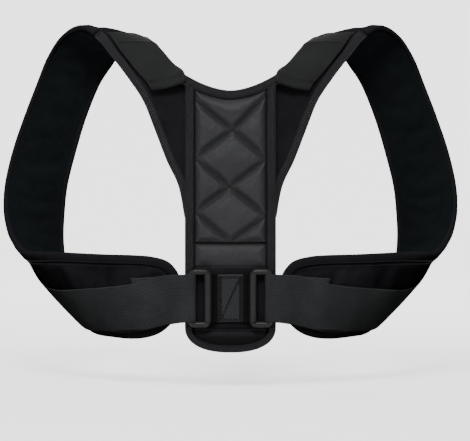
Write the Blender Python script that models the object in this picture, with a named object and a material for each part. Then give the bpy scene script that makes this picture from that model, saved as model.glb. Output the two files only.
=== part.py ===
"""Posture brace: quilted back panel, two padded shoulder loops, ring buckles and hook tabs.

Millimetres below, metres in the mesh.  X is the wearer's width, +Y points into the wearer, +Z up.
The lining's flat face lies on y = 0 and the panel's centre on the origin.
"""
import math

import bmesh
import bpy
from mathutils import Vector

MM = 0.001
GAP = 0.3

# Back panel
PANEL_HALF_WIDTH = 45.5
PANEL_SIDE_TOP = 147.0
PANEL_SIDE_BOTTOM = -104.0
NECK_CENTRE_Z = 131.0
TONGUE_BOTTOM_Z = -130.5
TONGUE_ROUNDNESS = 2.35
NECK_STEPS = 14
TONGUE_STEPS = 24
RIM_WALL = 1.2
LINING = (-1.2, 0.0)
BOARD = (-3.0, -1.5)
FOAM = (-7.6, -3.3)
COVER = (-9.0, -7.9)
BOARD_INSET = 12.0
SIDE_TAPE_WIDTH = 9.2
SIDE_TAPE_FACE = -9.5
NECK_TAPE_WIDTH = 9.0
TONGUE_TAPE_WIDTH = 7.0
TAPE_FACE = -10.8
TAPE_THICKNESS = 1.0

# Quilting
QUILT_BOTTOM_Z = -21.0
QUILT_PITCH_Z = 55.5
QUILT_FIRST_CROSSING_Z = 91.0
QUILT_PUFF = 3.6
BAND_TOP_Z = -21.6
BAND_BOTTOM_Z = -45.0
TONGUE_PUFF_TOP_Z = -107.5
LOWER_PUFF = 3.0

# Rings and webbing
RAIL_RADIUS = 2.8
RAIL_Y = -15.0
INNER_RAIL_X = 22.0
OUTER_RAIL_X = 38.5
RING_TOP_Z = -48.9
RING_BOTTOM_Z = -102.9
RING_CORNER = 3.6
WEB_THICKNESS = 1.4
WEB_TOP_Z = -52.2
WEB_BOTTOM_Z = -99.6
PATCH_HALF_WIDTH = 12.0

# Shoulder loop
FOLD_SEAM_X = 44.3
STRAP_HALF = 3.6
FACE_CLEAR = 0.7
RIM_CLEAR = 1.3
SKIN = 1.1
FOAM_HALF = 2.2
WING_HALF = 1.2
BINDING_WIDTH = 7.0
EDGE_TAPE_WIDTH = 8.0
NECK_FOLD_WIDTH = 4.0
WING_END = 7.15
STRAP_START = 7.25
STRAP_END = 27.0
TAB_HEM = 4.22
TAB_CREASE = 6.65
TAB_LEFT = 0.25
TIP_CREASE = 13.9
TIP_END = 12.9
STRAP_ROWS = 38
WING_ROWS = 16

# Left loop, arm-side edge and neck-side edge at each station, then the bulge of the middle.
STATIONS = (
    ((-49.5, -3, 17), (-49.5, -3, 29), 0.0),
    ((-55, -2, 36), (-49.5, -3, 62), 0.0),
    ((-64, 1, 62), (-49.5, -3, 97), 0.5),
    ((-76, 5, 94), (-49.5, -3, 126), 1.0),
    ((-87, 10, 122), (-49.5, -2, 142), 1.5),
    ((-103, 20, 146), (-57, 8, 153), 2.0),
    ((-119, 33, 167), (-70.5, 21, 168.5), 2.5),
    ((-136, 47, 185), (-86, 39, 181), 3.0),
    ((-155, 68, 196), (-101, 61, 186), 2.5),
    ((-174, 91, 189), (-113, 85, 180), 2.0),
    ((-189, 106, 171), (-123, 103, 167), 2.0),
    ((-203, 113, 146), (-139, 113, 146), 2.0),
    ((-218, 117, 112), (-155, 120, 112), 2.0),
    ((-231, 119, 76), (-167, 124, 75), 2.0),
    ((-239, 117, 40), (-176, 127, 40), 2.0),
    ((-239.5, 112, 12), (-180, 129, 10), 2.0),
    ((-235, 103, -9), (-182, 128, -19), 3.0),
    ((-228, 92, -22), (-180, 123, -47), 4.0),
    ((-220, 80, -30), (-173, 112, -74), 5.0),
    ((-212, 66, -33), (-163, 94, -97), 5.0),
    ((-199, 52, -33), (-151, 72, -109), 5.0),
    ((-177, 39, -33), (-137, 50, -113), 4.0),
    ((-150, 27, -34), (-120, 32, -115), 3.5),
    ((-123, 16, -35), (-101, 17, -116), 3.0),
    ((-98, 8, -35.5), (-83, 7, -114), 2.5),
    ((-79, 3, -37), (-69, 2, -108), 2.0),
    ((-64, 0, -42), (-58.5, 0, -97), 1.0),
    ((-54, -1, -55), (-52, -1, -83), 0.0),
)

# Where the webbing lies across the strap: station, upper share, lower share.
WEB_TRACK = (
    (25, 0.27, 0.91), (24, 0.33, 0.89), (23, 0.36, 0.90), (22, 0.39, 0.92), (21, 0.41, 0.93),
    (20, 0.42, 0.94), (19, 0.41, 0.94), (18, 0.37, 0.94), (17, 0.31, 0.93), (16, 0.24, 0.92),
    (15, 0.17, 0.90), (14, 0.13, 0.88), (13, 0.12, 0.87), (12, 0.12, 0.87),
)


def spline(values, station):
    """Smooth value at a fractional station of a list of vectors or numbers."""
    last = len(values) - 1
    i = min(max(math.floor(station), 0), last - 1)
    f = station - i
    p1 = values[i]
    p2 = values[i + 1]
    p0 = values[i - 1] if i > 0 else 2 * p1 - p2
    p3 = values[i + 2] if i + 2 <= last else 2 * p2 - p1
    even = 2 * p1 + (2 * p0 - 5 * p1 + 4 * p2 - p3) * (f * f)
    odd = (p2 - p0) * f + (3 * p1 - p0 - 3 * p2 + p3) * (f * f * f)
    return (even + odd) * 0.5


class Ribbon:
    """A strip of cloth between two edge curves, bulged in the middle."""

    def __init__(self, stations):
        self.a = [Vector(row[0]) for row in stations]
        self.b = [Vector(row[1]) for row in stations]
        self.bulge = [float(row[2]) for row in stations]

    def flat(self, s, t):
        return spline(self.a, s).lerp(spline(self.b, s), t)

    def mid(self, s, t):
        along = self.flat(s + 0.05, 0.5) - self.flat(s - 0.05, 0.5)
        across = self.flat(s, 1.0) - self.flat(s, 0.0)
        lift = 4.0 * t * (1.0 - t) * spline(self.bulge, s)
        return self.flat(s, t) + across.cross(along).normalized() * lift

    def frame(self, s, t):
        """Point, outward normal and unit direction across the strip."""
        along = self.mid(s + 0.04, t) - self.mid(s - 0.04, t)
        across = self.mid(s, t + 0.02) - self.mid(s, t - 0.02)
        normal = across.cross(along).normalized()
        return self.mid(s, t), normal, across.normalized()

    def at(self, s, t, height):
        point, normal, _ = self.frame(s, t)
        return point + normal * height


LOOP = Ribbon(STATIONS)


def material(name, colour, roughness, metallic=0.0):
    mat = bpy.data.materials.new(name)
    mat.use_nodes = True
    shader = mat.node_tree.nodes["Principled BSDF"]
    shader.inputs["Base Color"].default_value = (*colour, 1.0)
    shader.inputs["Roughness"].default_value = roughness
    shader.inputs["Metallic"].default_value = metallic
    return mat


def finish(name, verts, faces, look, origin=(0, 0, 0), mirrored=False):
    """Make one closed, outward-facing object from points in millimetres."""
    side = -1.0 if mirrored else 1.0
    pivot = Vector((origin[0] * side, origin[1], origin[2])) * MM
    mesh = bpy.data.meshes.new(name)
    scaled = [Vector((v[0] * side, v[1], v[2])) * MM - pivot for v in verts]
    mesh.from_pydata(scaled, [], faces)
    work = bmesh.new()
    work.from_mesh(mesh)
    bmesh.ops.remove_doubles(work, verts=work.verts, dist=1e-6)
    bmesh.ops.triangulate(work, faces=[f for f in work.faces if len(f.verts) > 4])
    bmesh.ops.recalc_face_normals(work, faces=work.faces)
    work.to_mesh(mesh)
    work.free()
    mesh.materials.append(material(name + "_mat", *look))
    item = bpy.data.objects.new(name, mesh)
    item.location = pivot
    bpy.context.scene.collection.objects.link(item)
    return item


def grid_solid(upper, lower):
    """Points and faces of the solid between two equal grids of points."""
    rows = len(upper)
    cols = len(upper[0])
    verts = [p for row in upper for p in row] + [p for row in lower for p in row]
    half = rows * cols
    faces = []
    for i in range(rows - 1):
        for j in range(cols - 1):
            k = i * cols + j
            faces.append((k, k + 1, k + cols + 1, k + cols))
            faces.append((half + k, half + k + cols, half + k + cols + 1, half + k + 1))
    for i in range(rows - 1):
        for k in (i * cols, i * cols + cols - 1):
            faces.append((k, k + cols, half + k + cols, half + k))
    for j in range(cols - 1):
        for k in (j, (rows - 1) * cols + j):
            faces.append((k, k + 1, half + k + 1, half + k))
    return verts, faces


def sweep_solid(sections, closed=False):
    """Points and faces of a tube through equal closed sections."""
    count = len(sections[0])
    verts = [p for section in sections for p in section]
    faces = []
    spans = len(sections) if closed else len(sections) - 1
    for i in range(spans):
        a = i * count
        b = ((i + 1) % len(sections)) * count
        for j in range(count):
            k = (j + 1) % count
            faces.append((a + j, a + k, b + k, b + j))
    if not closed:
        faces.append(tuple(range(count)))
        faces.append(tuple(range(len(verts) - count, len(verts))))
    return verts, faces


def steps(first, last, count):
    return [first + (last - first) * i / count for i in range(count + 1)]


# ---------------------------------------------------------------- back panel

def tongue_edge(distance):
    """Rounded bottom from the left side to the right side, moved inwards by a distance."""
    points = []
    half = PANEL_HALF_WIDTH - distance
    depth = PANEL_SIDE_BOTTOM - TONGUE_BOTTOM_Z - distance
    for angle in steps(math.pi, 2 * math.pi, TONGUE_STEPS):
        c = math.cos(angle)
        s = math.sin(angle)
        x = math.copysign(abs(c) ** (2 / TONGUE_ROUNDNESS), c) * half
        points.append((x, PANEL_SIDE_BOTTOM - abs(s) ** (2 / TONGUE_ROUNDNESS) * depth))
    return points


def neck_z(x):
    """Height of the neckline at x."""
    share = min(abs(x) / PANEL_HALF_WIDTH, 1.0)
    return NECK_CENTRE_Z + (PANEL_SIDE_TOP - NECK_CENTRE_Z) * share ** 1.75


def neck_edge(distance, half=PANEL_HALF_WIDTH):
    """Neckline from right to left, lowered by a distance measured square to it."""
    points = []
    for x in steps(half, -half, NECK_STEPS):
        outward = min(abs(x), PANEL_HALF_WIDTH - 0.2)
        slope = (neck_z(outward + 0.1) - neck_z(outward)) / 0.1
        points.append((x, neck_z(x) - distance * math.hypot(1.0, slope)))
    return points


def panel_outline(distance):
    """Whole outline moved inwards, bottom first, then the neckline back."""
    return tongue_edge(distance) + neck_edge(distance, PANEL_HALF_WIDTH - distance)


def slab(name, distance, span, look):
    outline = panel_outline(distance)
    sections = [[(x, y, z) for x, z in outline] for y in span]
    verts, faces = sweep_solid(sections)
    return finish(name, verts, faces, look)


def smooth_step(value):
    value = min(max(value, 0.0), 1.0)
    return value * value * (3.0 - 2.0 * value)


def diamond_distance(x, z, half_width):
    """Distance to the nearest of the crossed quilting lines."""
    slope = half_width / (QUILT_PITCH_Z * 0.5)
    length = math.hypot(1.0, slope)
    best = 1e9
    for sign in (-1.0, 1.0):
        across = (x + sign * slope * (z - QUILT_FIRST_CROSSING_Z)) / (2.0 * half_width)
        best = min(best, abs(across - round(across)) * 2.0 * half_width / length)
    return best


def quilt_puff(x, z):
    half = PANEL_HALF_WIDTH - SIDE_TAPE_WIDTH - GAP
    top = neck_z(x) - NECK_TAPE_WIDTH
    edge = min(half - abs(x), z - QUILT_BOTTOM_Z, top - z)
    if edge <= 0.0:
        return 0.0
    lines = diamond_distance(x, z, half)
    return QUILT_PUFF * smooth_step(min(lines, edge) / 11.0) ** 0.7


def lower_puff(x, z):
    half = PANEL_HALF_WIDTH - SIDE_TAPE_WIDTH - GAP
    side = half - abs(x)
    if z > BAND_BOTTOM_Z:
        edge = min(side, BAND_TOP_Z - z, z - BAND_BOTTOM_Z)
    else:
        floor = TONGUE_BOTTOM_Z + TONGUE_TAPE_WIDTH + 0.006 * x * x
        edge = min(side, TONGUE_PUFF_TOP_Z - z, z - floor)
    return LOWER_PUFF * smooth_step(edge / 8.0)


def cover(name, top_of, bottom_of, rows, cols, puff, look):
    half = PANEL_HALF_WIDTH - SIDE_TAPE_WIDTH - GAP
    outer = []
    inner = []
    for x in steps(-half, half, cols):
        zs = steps(bottom_of(x), top_of(x), rows)
        outer.append([(x, COVER[0] - puff(x, z), z) for z in zs])
        inner.append([(x, COVER[1], z) for z in zs])
    verts, faces = grid_solid(outer, inner)
    return finish(name, verts, faces, look)


def tongue_z(x, distance):
    """Height of the tongue's edge at x, moved up by a distance."""
    share = min(abs(x) / PANEL_HALF_WIDTH, 1.0)
    drop = (1.0 - share ** TONGUE_ROUNDNESS) ** (1.0 / TONGUE_ROUNDNESS)
    return PANEL_SIDE_BOTTOM - drop * (PANEL_SIDE_BOTTOM - TONGUE_BOTTOM_Z) + distance


def edge_tape(name, edge, width, look):
    """Tape folded over the panel's edge: a face strip and the wall behind it."""
    sections = []
    for (x0, z0), (x1, z1), (x2, z2) in zip(edge(0.0), edge(RIM_WALL), edge(width)):
        sections.append([
            (x0, 0.0, z0),
            (x0, TAPE_FACE, z0),
            (x2, TAPE_FACE, z2),
            (x2, TAPE_FACE + TAPE_THICKNESS, z2),
            (x1, TAPE_FACE + TAPE_THICKNESS, z1),
            (x1, 0.0, z1),
        ])
    verts, faces = sweep_solid(sections)
    return finish(name, verts, faces, look)


def side_tape(name, mirrored, look):
    x0 = -PANEL_HALF_WIDTH
    x1 = x0 + RIM_WALL
    x2 = x0 + SIDE_TAPE_WIDTH
    profile = (
        (x0, 0.0), (x0, SIDE_TAPE_FACE), (x2, SIDE_TAPE_FACE),
        (x2, COVER[1]), (x1, COVER[1]), (x1, 0.0),
    )
    bottom = [(x, y, PANEL_SIDE_BOTTOM + GAP) for x, y in profile]
    top = [(x, y, neck_z(x) - RIM_WALL * 2.0) for x, y in profile]
    verts, faces = sweep_solid([bottom, top])
    return finish(name, verts, faces, look, mirrored=mirrored)


def around(centre, radius, first, last, count):
    """Points of an arc, angles in degrees from +X towards +Y."""
    points = []
    for angle in steps(math.radians(first), math.radians(last), count):
        points.append((centre[0] + radius * math.cos(angle), centre[1] + radius * math.sin(angle)))
    return points


def anchor(name, look):
    """Webbing with a loop round each inner rail and a flat patch between them."""
    inner = RAIL_RADIUS + GAP
    outer = inner + WEB_THICKNESS
    left = (-INNER_RAIL_X, RAIL_Y)
    back = COVER[0] - GAP
    back_face = back - WEB_THICKNESS
    patch = back_face - WEB_THICKNESS
    half = [(0.0, back), (-PATCH_HALF_WIDTH, back), (-INNER_RAIL_X + 4.0, back - 0.6)]
    half += around(left, outer, 80, 275, 9)
    half += [(-PATCH_HALF_WIDTH - 3.0, patch - 1.6), (-PATCH_HALF_WIDTH, patch), (0.0, patch)]
    hole = around(left, inner, 60, 300, 10) + [(-PATCH_HALF_WIDTH - 3.0, back_face - 1.2)]
    rim = half + [(-x, y) for x, y in reversed(half[1:-1])]
    holes = [hole, [(-x, y) for x, y in reversed(hole)]]
    work = bmesh.new()
    ends = []
    for z in (WEB_BOTTOM_Z, WEB_TOP_Z):
        rings = []
        edges = []
        for loop in [rim] + holes:
            points = [work.verts.new((x, y, z)) for x, y in loop]
            rings.append(points)
            for i, point in enumerate(points):
                edges.append(work.edges.new((point, points[(i + 1) % len(points)])))
        bmesh.ops.triangle_fill(work, edges=edges, use_beauty=True)
        ends.append(rings)
    for low, high in zip(*ends):
        count = len(low)
        for i in range(count):
            k = (i + 1) % count
            work.faces.new((low[i], low[k], high[k], high[i]))
    work.verts.index_update()
    points = [v.co.copy() for v in work.verts]
    faces = [tuple(v.index for v in f.verts) for f in work.faces]
    work.free()
    return finish(name, points, faces, look)


# ---------------------------------------------------------------- rings and webbing

def ring(name, pivot, mirrored, look):
    """Rectangular ring of round bar."""
    cx = -(OUTER_RAIL_X + INNER_RAIL_X) * 0.5
    cz = (RING_TOP_Z + RING_BOTTOM_Z) * 0.5
    wide = (OUTER_RAIL_X - INNER_RAIL_X) * 0.5 - RING_CORNER
    tall = (RING_TOP_Z - RING_BOTTOM_Z) * 0.5 - RING_CORNER
    sections = []
    for corner, (sx, sz) in enumerate(((1, 1), (-1, 1), (-1, -1), (1, -1))):
        for turn in steps(0, 90, 3):
            angle = math.radians(corner * 90 + turn)
            out = Vector((math.cos(angle), 0, math.sin(angle)))
            centre = Vector((cx + sx * wide, RAIL_Y, cz + sz * tall)) + out * RING_CORNER
            flat = 1.0 - 0.22 * abs(out.z)
            section = []
            for step in range(10):
                roll = 2 * math.pi * step / 10
                offset = out * math.cos(roll) * flat + Vector((0, math.sin(roll), 0))
                section.append(centre + offset * RAIL_RADIUS)
            sections.append(section)
    verts, faces = sweep_solid(sections, closed=True)
    return finish(name, verts, faces, look, pivot, mirrored)


def web_fold(name, pivot, mirrored, look):
    """Webbing turned round the outer rail, behind it and back in front of it."""
    inner = RAIL_RADIUS + GAP
    outer = inner + WEB_THICKNESS
    centre = (-OUTER_RAIL_X, RAIL_Y)
    rim = [(-FOLD_SEAM_X, RAIL_Y + outer)] + around(centre, outer, 90, -90, 8)
    rim += [(-FOLD_SEAM_X, RAIL_Y - outer), (-FOLD_SEAM_X, RAIL_Y - inner)]
    rim += around(centre, inner, -90, 90, 8) + [(-FOLD_SEAM_X, RAIL_Y + inner)]
    sections = [[(x, y, z) for x, y in rim] for z in (WEB_BOTTOM_Z, WEB_TOP_Z)]
    verts, faces = sweep_solid(sections)
    return finish(name, verts, faces, look, pivot, mirrored)


def track(index, height):
    """Upper and lower edge of the webbing at one place on the strap."""
    station, upper, lower = WEB_TRACK[index]
    return LOOP.at(station, upper, height), LOOP.at(station, lower, height)


def web_ribbon(y_ring, height, count, knee):
    """Strip from the ring to the strap, then along the strap."""
    seam = -FOLD_SEAM_X - GAP
    rows = [((seam, y_ring, WEB_TOP_Z), (seam, y_ring, WEB_BOTTOM_Z), 0.0)]
    y_knee = y_ring + knee
    rows.append(((seam - 5.0, y_knee, WEB_TOP_Z - 0.6), (seam - 5.0, y_knee, WEB_BOTTOM_Z - 0.6), 0.0))
    for index in range(count):
        a, b = track(index, height)
        rows.append((a, b, 0.0))
    return Ribbon(rows)


# ---------------------------------------------------------------- shoulder loop

def layer(name, ribbon, span, cross, heights, grid, look, pivot, mirrored):
    """Closed layer of a ribbon between two heights."""
    sheets = []
    for height in heights:
        sheets.append([[ribbon.at(s, t, height) for t in steps(cross[0], cross[1], grid[1])]
                       for s in steps(span[0], span[1], grid[0])])
    verts, faces = grid_solid(sheets[1], sheets[0])
    return finish(name, verts, faces, look, pivot, mirrored)


def channel(ribbon, rim, width, thick, half):
    """U sections over an edge, each from a rim place and a place further in."""
    clear = half + FACE_CLEAR
    wall = -RIM_CLEAR
    profile = (
        (clear + thick, width), (clear + thick, wall - thick),
        (-clear - thick, wall - thick), (-clear - thick, width),
        (-clear, width), (-clear, wall), (clear, wall), (clear, width),
    )
    sections = []
    for edge, inside in rim:
        section = []
        for height, depth in profile:
            start = ribbon.at(*edge, height)
            inward = (ribbon.at(*inside, height) - start).normalized()
            section.append(start + inward * depth)
        sections.append(section)
    return sections


def strap_binding(name, look, pivot, mirrored):
    rows = steps(STRAP_START, STRAP_END, STRAP_ROWS)
    last = rows[-2]
    rim = [((s, 0.0), (s, 0.25)) for s in rows[:-1]]
    rim.append(((STRAP_END, 0.0), (last, 0.25)))
    rim += [((STRAP_END, t), (last, t)) for t in (0.25, 0.5, 0.75)]
    rim.append(((STRAP_END, 1.0), (last, 0.75)))
    rim += [((s, 1.0), (s, 0.75)) for s in reversed(rows[:-1])]
    verts, faces = sweep_solid(channel(LOOP, rim, BINDING_WIDTH, 1.0, STRAP_HALF))
    return finish(name, verts, faces, look, pivot, mirrored)


def wing_tape(name, share, first, width, look, pivot, mirrored):
    rows = [s for s in steps(0.0, WING_END, WING_ROWS) if first < s < WING_END - 0.3]
    inside = 0.25 if share < 0.5 else 0.75
    rim = [((s, share), (s, inside)) for s in rows]
    verts, faces = sweep_solid(channel(LOOP, rim, width, 0.8, WING_HALF))
    return finish(name, verts, faces, look, pivot, mirrored)


BLACK_SATIN = ((0.030, 0.029, 0.034), 0.42)
BLACK_TAPE = ((0.016, 0.016, 0.018), 0.75)
BLACK_LOOP = ((0.012, 0.012, 0.014), 0.95)
BLACK_WEB = ((0.020, 0.020, 0.022), 0.68)
BLACK_MESH = ((0.008, 0.009, 0.010), 0.90)
BLACK_FOAM = ((0.020, 0.020, 0.020), 0.98)
BLACK_PLASTIC = ((0.012, 0.012, 0.013), 0.25)
GREY_BOARD = ((0.20, 0.20, 0.21), 0.55)
BLACK_HOOK = ((0.010, 0.010, 0.011), 0.80)


def build_panel():
    slab("back_lining", RIM_WALL + GAP, LINING, BLACK_MESH)
    slab("stiffener_board", BOARD_INSET, BOARD, GREY_BOARD)
    slab("spine_foam", RIM_WALL + GAP, FOAM, BLACK_FOAM)
    cover("quilted_cover", lambda x: neck_z(x) - RIM_WALL - 1.4, lambda x: QUILT_BOTTOM_Z,
          34, 18, quilt_puff, BLACK_SATIN)
    cover("lower_cover", lambda x: BAND_TOP_Z, lambda x: tongue_z(x, 3.2),
          26, 14, lower_puff, BLACK_SATIN)
    edge_tape("neck_binding", neck_edge, NECK_TAPE_WIDTH, BLACK_TAPE)
    edge_tape("tongue_binding", tongue_edge, TONGUE_TAPE_WIDTH, BLACK_TAPE)
    anchor("anchor_webbing", BLACK_WEB)


def build_side(side, mirrored):
    pivot = (-INNER_RAIL_X, RAIL_Y, (WEB_TOP_Z + WEB_BOTTOM_Z) * 0.5)
    side_tape("side_tape_" + side, mirrored, BLACK_TAPE)
    ring("ring_buckle_" + side, pivot, mirrored, BLACK_PLASTIC)
    web_fold("webbing_fold_" + side, pivot, mirrored, BLACK_WEB)

    layer("wing_" + side, LOOP, (0.0, WING_END), (0.0, 1.0), (-WING_HALF, WING_HALF),
          (WING_ROWS, 4), BLACK_LOOP, pivot, mirrored)
    wing_tape("wing_edge_tape_" + side, 0.0, 1.3, EDGE_TAPE_WIDTH, BLACK_TAPE, pivot, mirrored)
    wing_tape("wing_neck_tape_" + side, 1.0, 4.4, NECK_FOLD_WIDTH, BLACK_TAPE, pivot, mirrored)

    skins = (
        ("strap_lining_", 0.0, (-STRAP_HALF, SKIN - STRAP_HALF), BLACK_MESH),
        ("strap_foam_", 0.02, (-FOAM_HALF, FOAM_HALF), BLACK_FOAM),
        ("strap_cover_", 0.006, (STRAP_HALF - SKIN, STRAP_HALF), BLACK_SATIN),
    )
    for prefix, edge, heights, look in skins:
        layer(prefix + side, LOOP, (STRAP_START, STRAP_END), (edge, 1.0 - edge), heights,
              (STRAP_ROWS, 4), look, pivot, mirrored)
    strap_binding("strap_binding_" + side, BLACK_TAPE, pivot, mirrored)

    lift = STRAP_HALF + FACE_CLEAR + 1.0 + GAP
    half = WEB_THICKNESS * 0.5
    inner = web_ribbon(RAIL_Y + RAIL_RADIUS + GAP + half, lift + half, 2, 0.4)
    layer("webbing_inner_" + side, inner, (0.0, 2.85), (0.0, 1.0), (-half, half),
          (8, 2), BLACK_WEB, pivot, mirrored)
    outer = web_ribbon(RAIL_Y - RAIL_RADIUS - GAP - half, lift + GAP + half * 3, 14, 1.6)
    crease = 27.0 - TIP_CREASE
    layer("webbing_outer_" + side, outer, (0.0, crease), (0.0, 1.0), (-half, half),
          (30, 2), BLACK_WEB, pivot, mirrored)

    tip_pivot = outer.at(crease, 0.5, -half)
    layer("webbing_tip_" + side, outer, (crease + 0.02, 27.0 - TIP_END), (0.0, 1.0),
          (-half, half), (5, 2), BLACK_WEB, tip_pivot, mirrored)
    layer("tip_hook_" + side, outer, (crease + 0.10, 27.0 - TIP_END - 0.05), (0.06, 0.94),
          (half + GAP, half + GAP + 0.9), (5, 2), BLACK_HOOK, tip_pivot, mirrored)

    base = WING_HALF + FACE_CLEAR + 0.8 + GAP
    tab_pivot = LOOP.at(TAB_CREASE, 0.62, base + 3.9)
    layer("shoulder_hook_" + side, LOOP, (TAB_HEM + 0.12, TAB_CREASE - 0.25),
          (TAB_LEFT + 0.04, 0.97), (base, base + 0.9), (8, 2), BLACK_HOOK, tab_pivot, mirrored)
    layer("shoulder_tab_" + side, LOOP, (TAB_HEM, TAB_CREASE - 0.02), (TAB_LEFT, 1.02),
          (base + 0.9 + GAP, base + 3.9), (10, 3), BLACK_WEB, tab_pivot, mirrored)
    layer("shoulder_tab_base_" + side, LOOP, (TAB_CREASE + 0.02, WING_END - 0.15),
          (TAB_LEFT, 1.0), (base + 0.9 + GAP, base + 3.9), (3, 3), BLACK_WEB, pivot, mirrored)


def main():
    for stale in list(bpy.data.objects):
        bpy.data.objects.remove(stale, do_unlink=True)
    build_panel()
    build_side("left", False)
    build_side("right", True)


main()
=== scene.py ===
"""Posture brace: the looks of a quilted back panel with two padded shoulder loops.

Sizes are in millimetres unless a name says otherwise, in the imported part's own frame.
"""
import math
from functools import cache

import bmesh
import bpy
import numpy as np
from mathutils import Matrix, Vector


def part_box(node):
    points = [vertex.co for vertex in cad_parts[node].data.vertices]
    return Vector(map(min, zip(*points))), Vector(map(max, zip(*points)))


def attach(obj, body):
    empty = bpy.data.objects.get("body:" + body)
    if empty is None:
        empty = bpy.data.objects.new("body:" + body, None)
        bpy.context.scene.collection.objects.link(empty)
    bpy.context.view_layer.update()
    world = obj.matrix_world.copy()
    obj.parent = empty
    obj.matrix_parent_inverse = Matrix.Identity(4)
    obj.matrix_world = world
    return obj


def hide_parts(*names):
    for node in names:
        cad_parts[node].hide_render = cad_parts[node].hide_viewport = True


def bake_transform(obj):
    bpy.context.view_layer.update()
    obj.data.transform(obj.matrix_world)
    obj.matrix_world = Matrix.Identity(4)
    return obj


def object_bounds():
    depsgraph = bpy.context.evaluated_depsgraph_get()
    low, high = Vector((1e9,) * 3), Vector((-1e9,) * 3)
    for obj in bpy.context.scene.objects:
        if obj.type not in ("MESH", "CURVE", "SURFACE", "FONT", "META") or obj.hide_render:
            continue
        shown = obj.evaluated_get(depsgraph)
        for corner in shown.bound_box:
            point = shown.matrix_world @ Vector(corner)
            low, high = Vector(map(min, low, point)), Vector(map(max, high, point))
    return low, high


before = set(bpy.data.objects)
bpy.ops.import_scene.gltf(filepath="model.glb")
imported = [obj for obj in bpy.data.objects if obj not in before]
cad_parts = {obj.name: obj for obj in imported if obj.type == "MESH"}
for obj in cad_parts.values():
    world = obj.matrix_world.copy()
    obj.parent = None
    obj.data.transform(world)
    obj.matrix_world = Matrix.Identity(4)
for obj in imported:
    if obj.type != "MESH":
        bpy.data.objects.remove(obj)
CAD_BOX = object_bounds()

bl_info = {
    "name": "Posture Brace",
    "version": (1, 0, 0),
    "blender": (4, 5, 0),
    "location": "View3D > Sidebar > Brace",
    "description": "Builds a posture brace with a quilted panel, padded straps and ring buckles",
    "category": "Add Mesh",
}

MM = 0.001
SIDES = (("left", 1.0), ("right", -1.0))

# The left shoulder loop: arm-side edge, neck-side edge and the bulge between them.
STATIONS = (
    ((-49.5, -3, 17), (-49.5, -3, 29), 0.0),
    ((-55, -2, 36), (-49.5, -3, 62), 0.0),
    ((-64, 1, 62), (-49.5, -3, 97), 0.5),
    ((-76, 5, 94), (-49.5, -3, 126), 1.0),
    ((-87, 10, 122), (-49.5, -2, 142), 1.5),
    ((-103, 20, 146), (-57, 8, 153), 2.0),
    ((-119, 33, 167), (-70.5, 21, 168.5), 2.5),
    ((-137, 47, 189), (-86, 39, 184.5), 3.0),
    ((-157, 68, 201), (-101.5, 61, 189), 2.5),
    ((-177.5, 91, 194), (-115, 85, 182), 2.0),
    ((-193.5, 106, 174), (-127, 103, 168), 2.0),
    ((-205.5, 113, 147), (-142, 113, 147), 2.0),
    ((-219.5, 117, 112), (-157, 120, 112), 2.0),
    ((-232, 119, 76), (-168.5, 124, 75), 2.0),
    ((-240, 117, 40), (-177.5, 127, 40), 2.0),
    ((-240.5, 112, 12), (-181, 129, 10), 2.0),
    ((-235, 103, -9), (-182, 128, -19), 3.0),
    ((-227, 92, -22), (-179, 123, -47), 3.0),
    ((-219, 80, -30), (-171.5, 112, -74), 3.0),
    ((-210.5, 66, -33), (-160.5, 94, -96), 3.0),
    ((-198, 52, -33), (-148, 72, -107), 3.5),
    ((-177, 39, -33), (-137, 50, -113), 4.0),
    ((-150, 27, -34), (-120, 32, -115), 3.5),
    ((-123, 16, -35), (-101, 17, -116), 3.0),
    ((-98, 8, -35.5), (-83, 7, -114), 2.5),
    ((-79, 3, -37), (-69, 2, -108), 2.0),
    ((-63, 0, -41.8), (-58, 0, -97), 1.0),
    ((-52.5, -1, -53.5), (-51.5, -1, -83), 0.0),
)
STRAP_START, STRAP_END = 7.2, 27.0
WING_END = 7.3
TAB_HEM, TAB_CREASE, TAB_TOP = 4.03, 6.65, 7.5
TAB_LEFT, TAB_RIGHT = 0.26, 1.05
TIP_CREASE, TIP_END = 13.9, 12.9

# Across the strap, where the webbing's two edges lie: station, upper share, lower share.
WEB_TRACK = (
    (25, 0.27, 0.94), (24, 0.33, 0.91), (23, 0.36, 0.90), (22, 0.39, 0.92), (21, 0.41, 0.93),
    (20, 0.42, 0.94), (19, 0.41, 0.94), (18, 0.37, 0.94), (17, 0.31, 0.93), (16, 0.24, 0.92),
    (15, 0.17, 0.90), (14, 0.13, 0.88), (13, 0.12, 0.87), (12, 0.12, 0.87),
)
# From one edge of the webbing to the other, closer together where the edges round off.
WEB_SHARE = np.concatenate([[0.0, 0.008, 0.022], np.linspace(0.05, 0.95, 30), [0.978, 0.992, 1.0]])

PANEL_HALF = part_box("side_tape_right")[1].x / MM
RAIL_Y = (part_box("ring_buckle_left")[0].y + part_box("ring_buckle_left")[1].y) * 0.5 / MM
NECK_SIDE_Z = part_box("neck_binding")[1].z / MM
NECK_CENTRE_Z = NECK_SIDE_Z - 16.0
TONGUE_SHOULDER_Z = -104.0
TONGUE_BOTTOM_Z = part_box("tongue_binding")[0].z / MM
INNER_RAIL_X, OUTER_RAIL_X = 22.0, 38.5
WEB_TOP_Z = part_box("webbing_fold_left")[1].z / MM
WEB_BOTTOM_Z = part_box("webbing_fold_left")[0].z / MM
QUILT_BOTTOM_Z = -21.0
BAND_BOTTOM_Z = -45.0
TONGUE_PUFF_TOP_Z = -107.5
COVER_Y = -9.0
COVER_HALF = PANEL_HALF - 9.2 - 0.3
NECK_POWER, TONGUE_POWER = 1.75, 2.35


# ------------------------------------------------------------------ settings

def length_setting(name, description, default, least):
    return bpy.props.FloatProperty(
        name=name, description=description, default=default * MM, min=least * MM,
        unit="LENGTH", subtype="DISTANCE")


def colour_setting(name, description, default):
    return bpy.props.FloatVectorProperty(
        name=name, description=description, default=default, subtype="COLOR")


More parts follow.
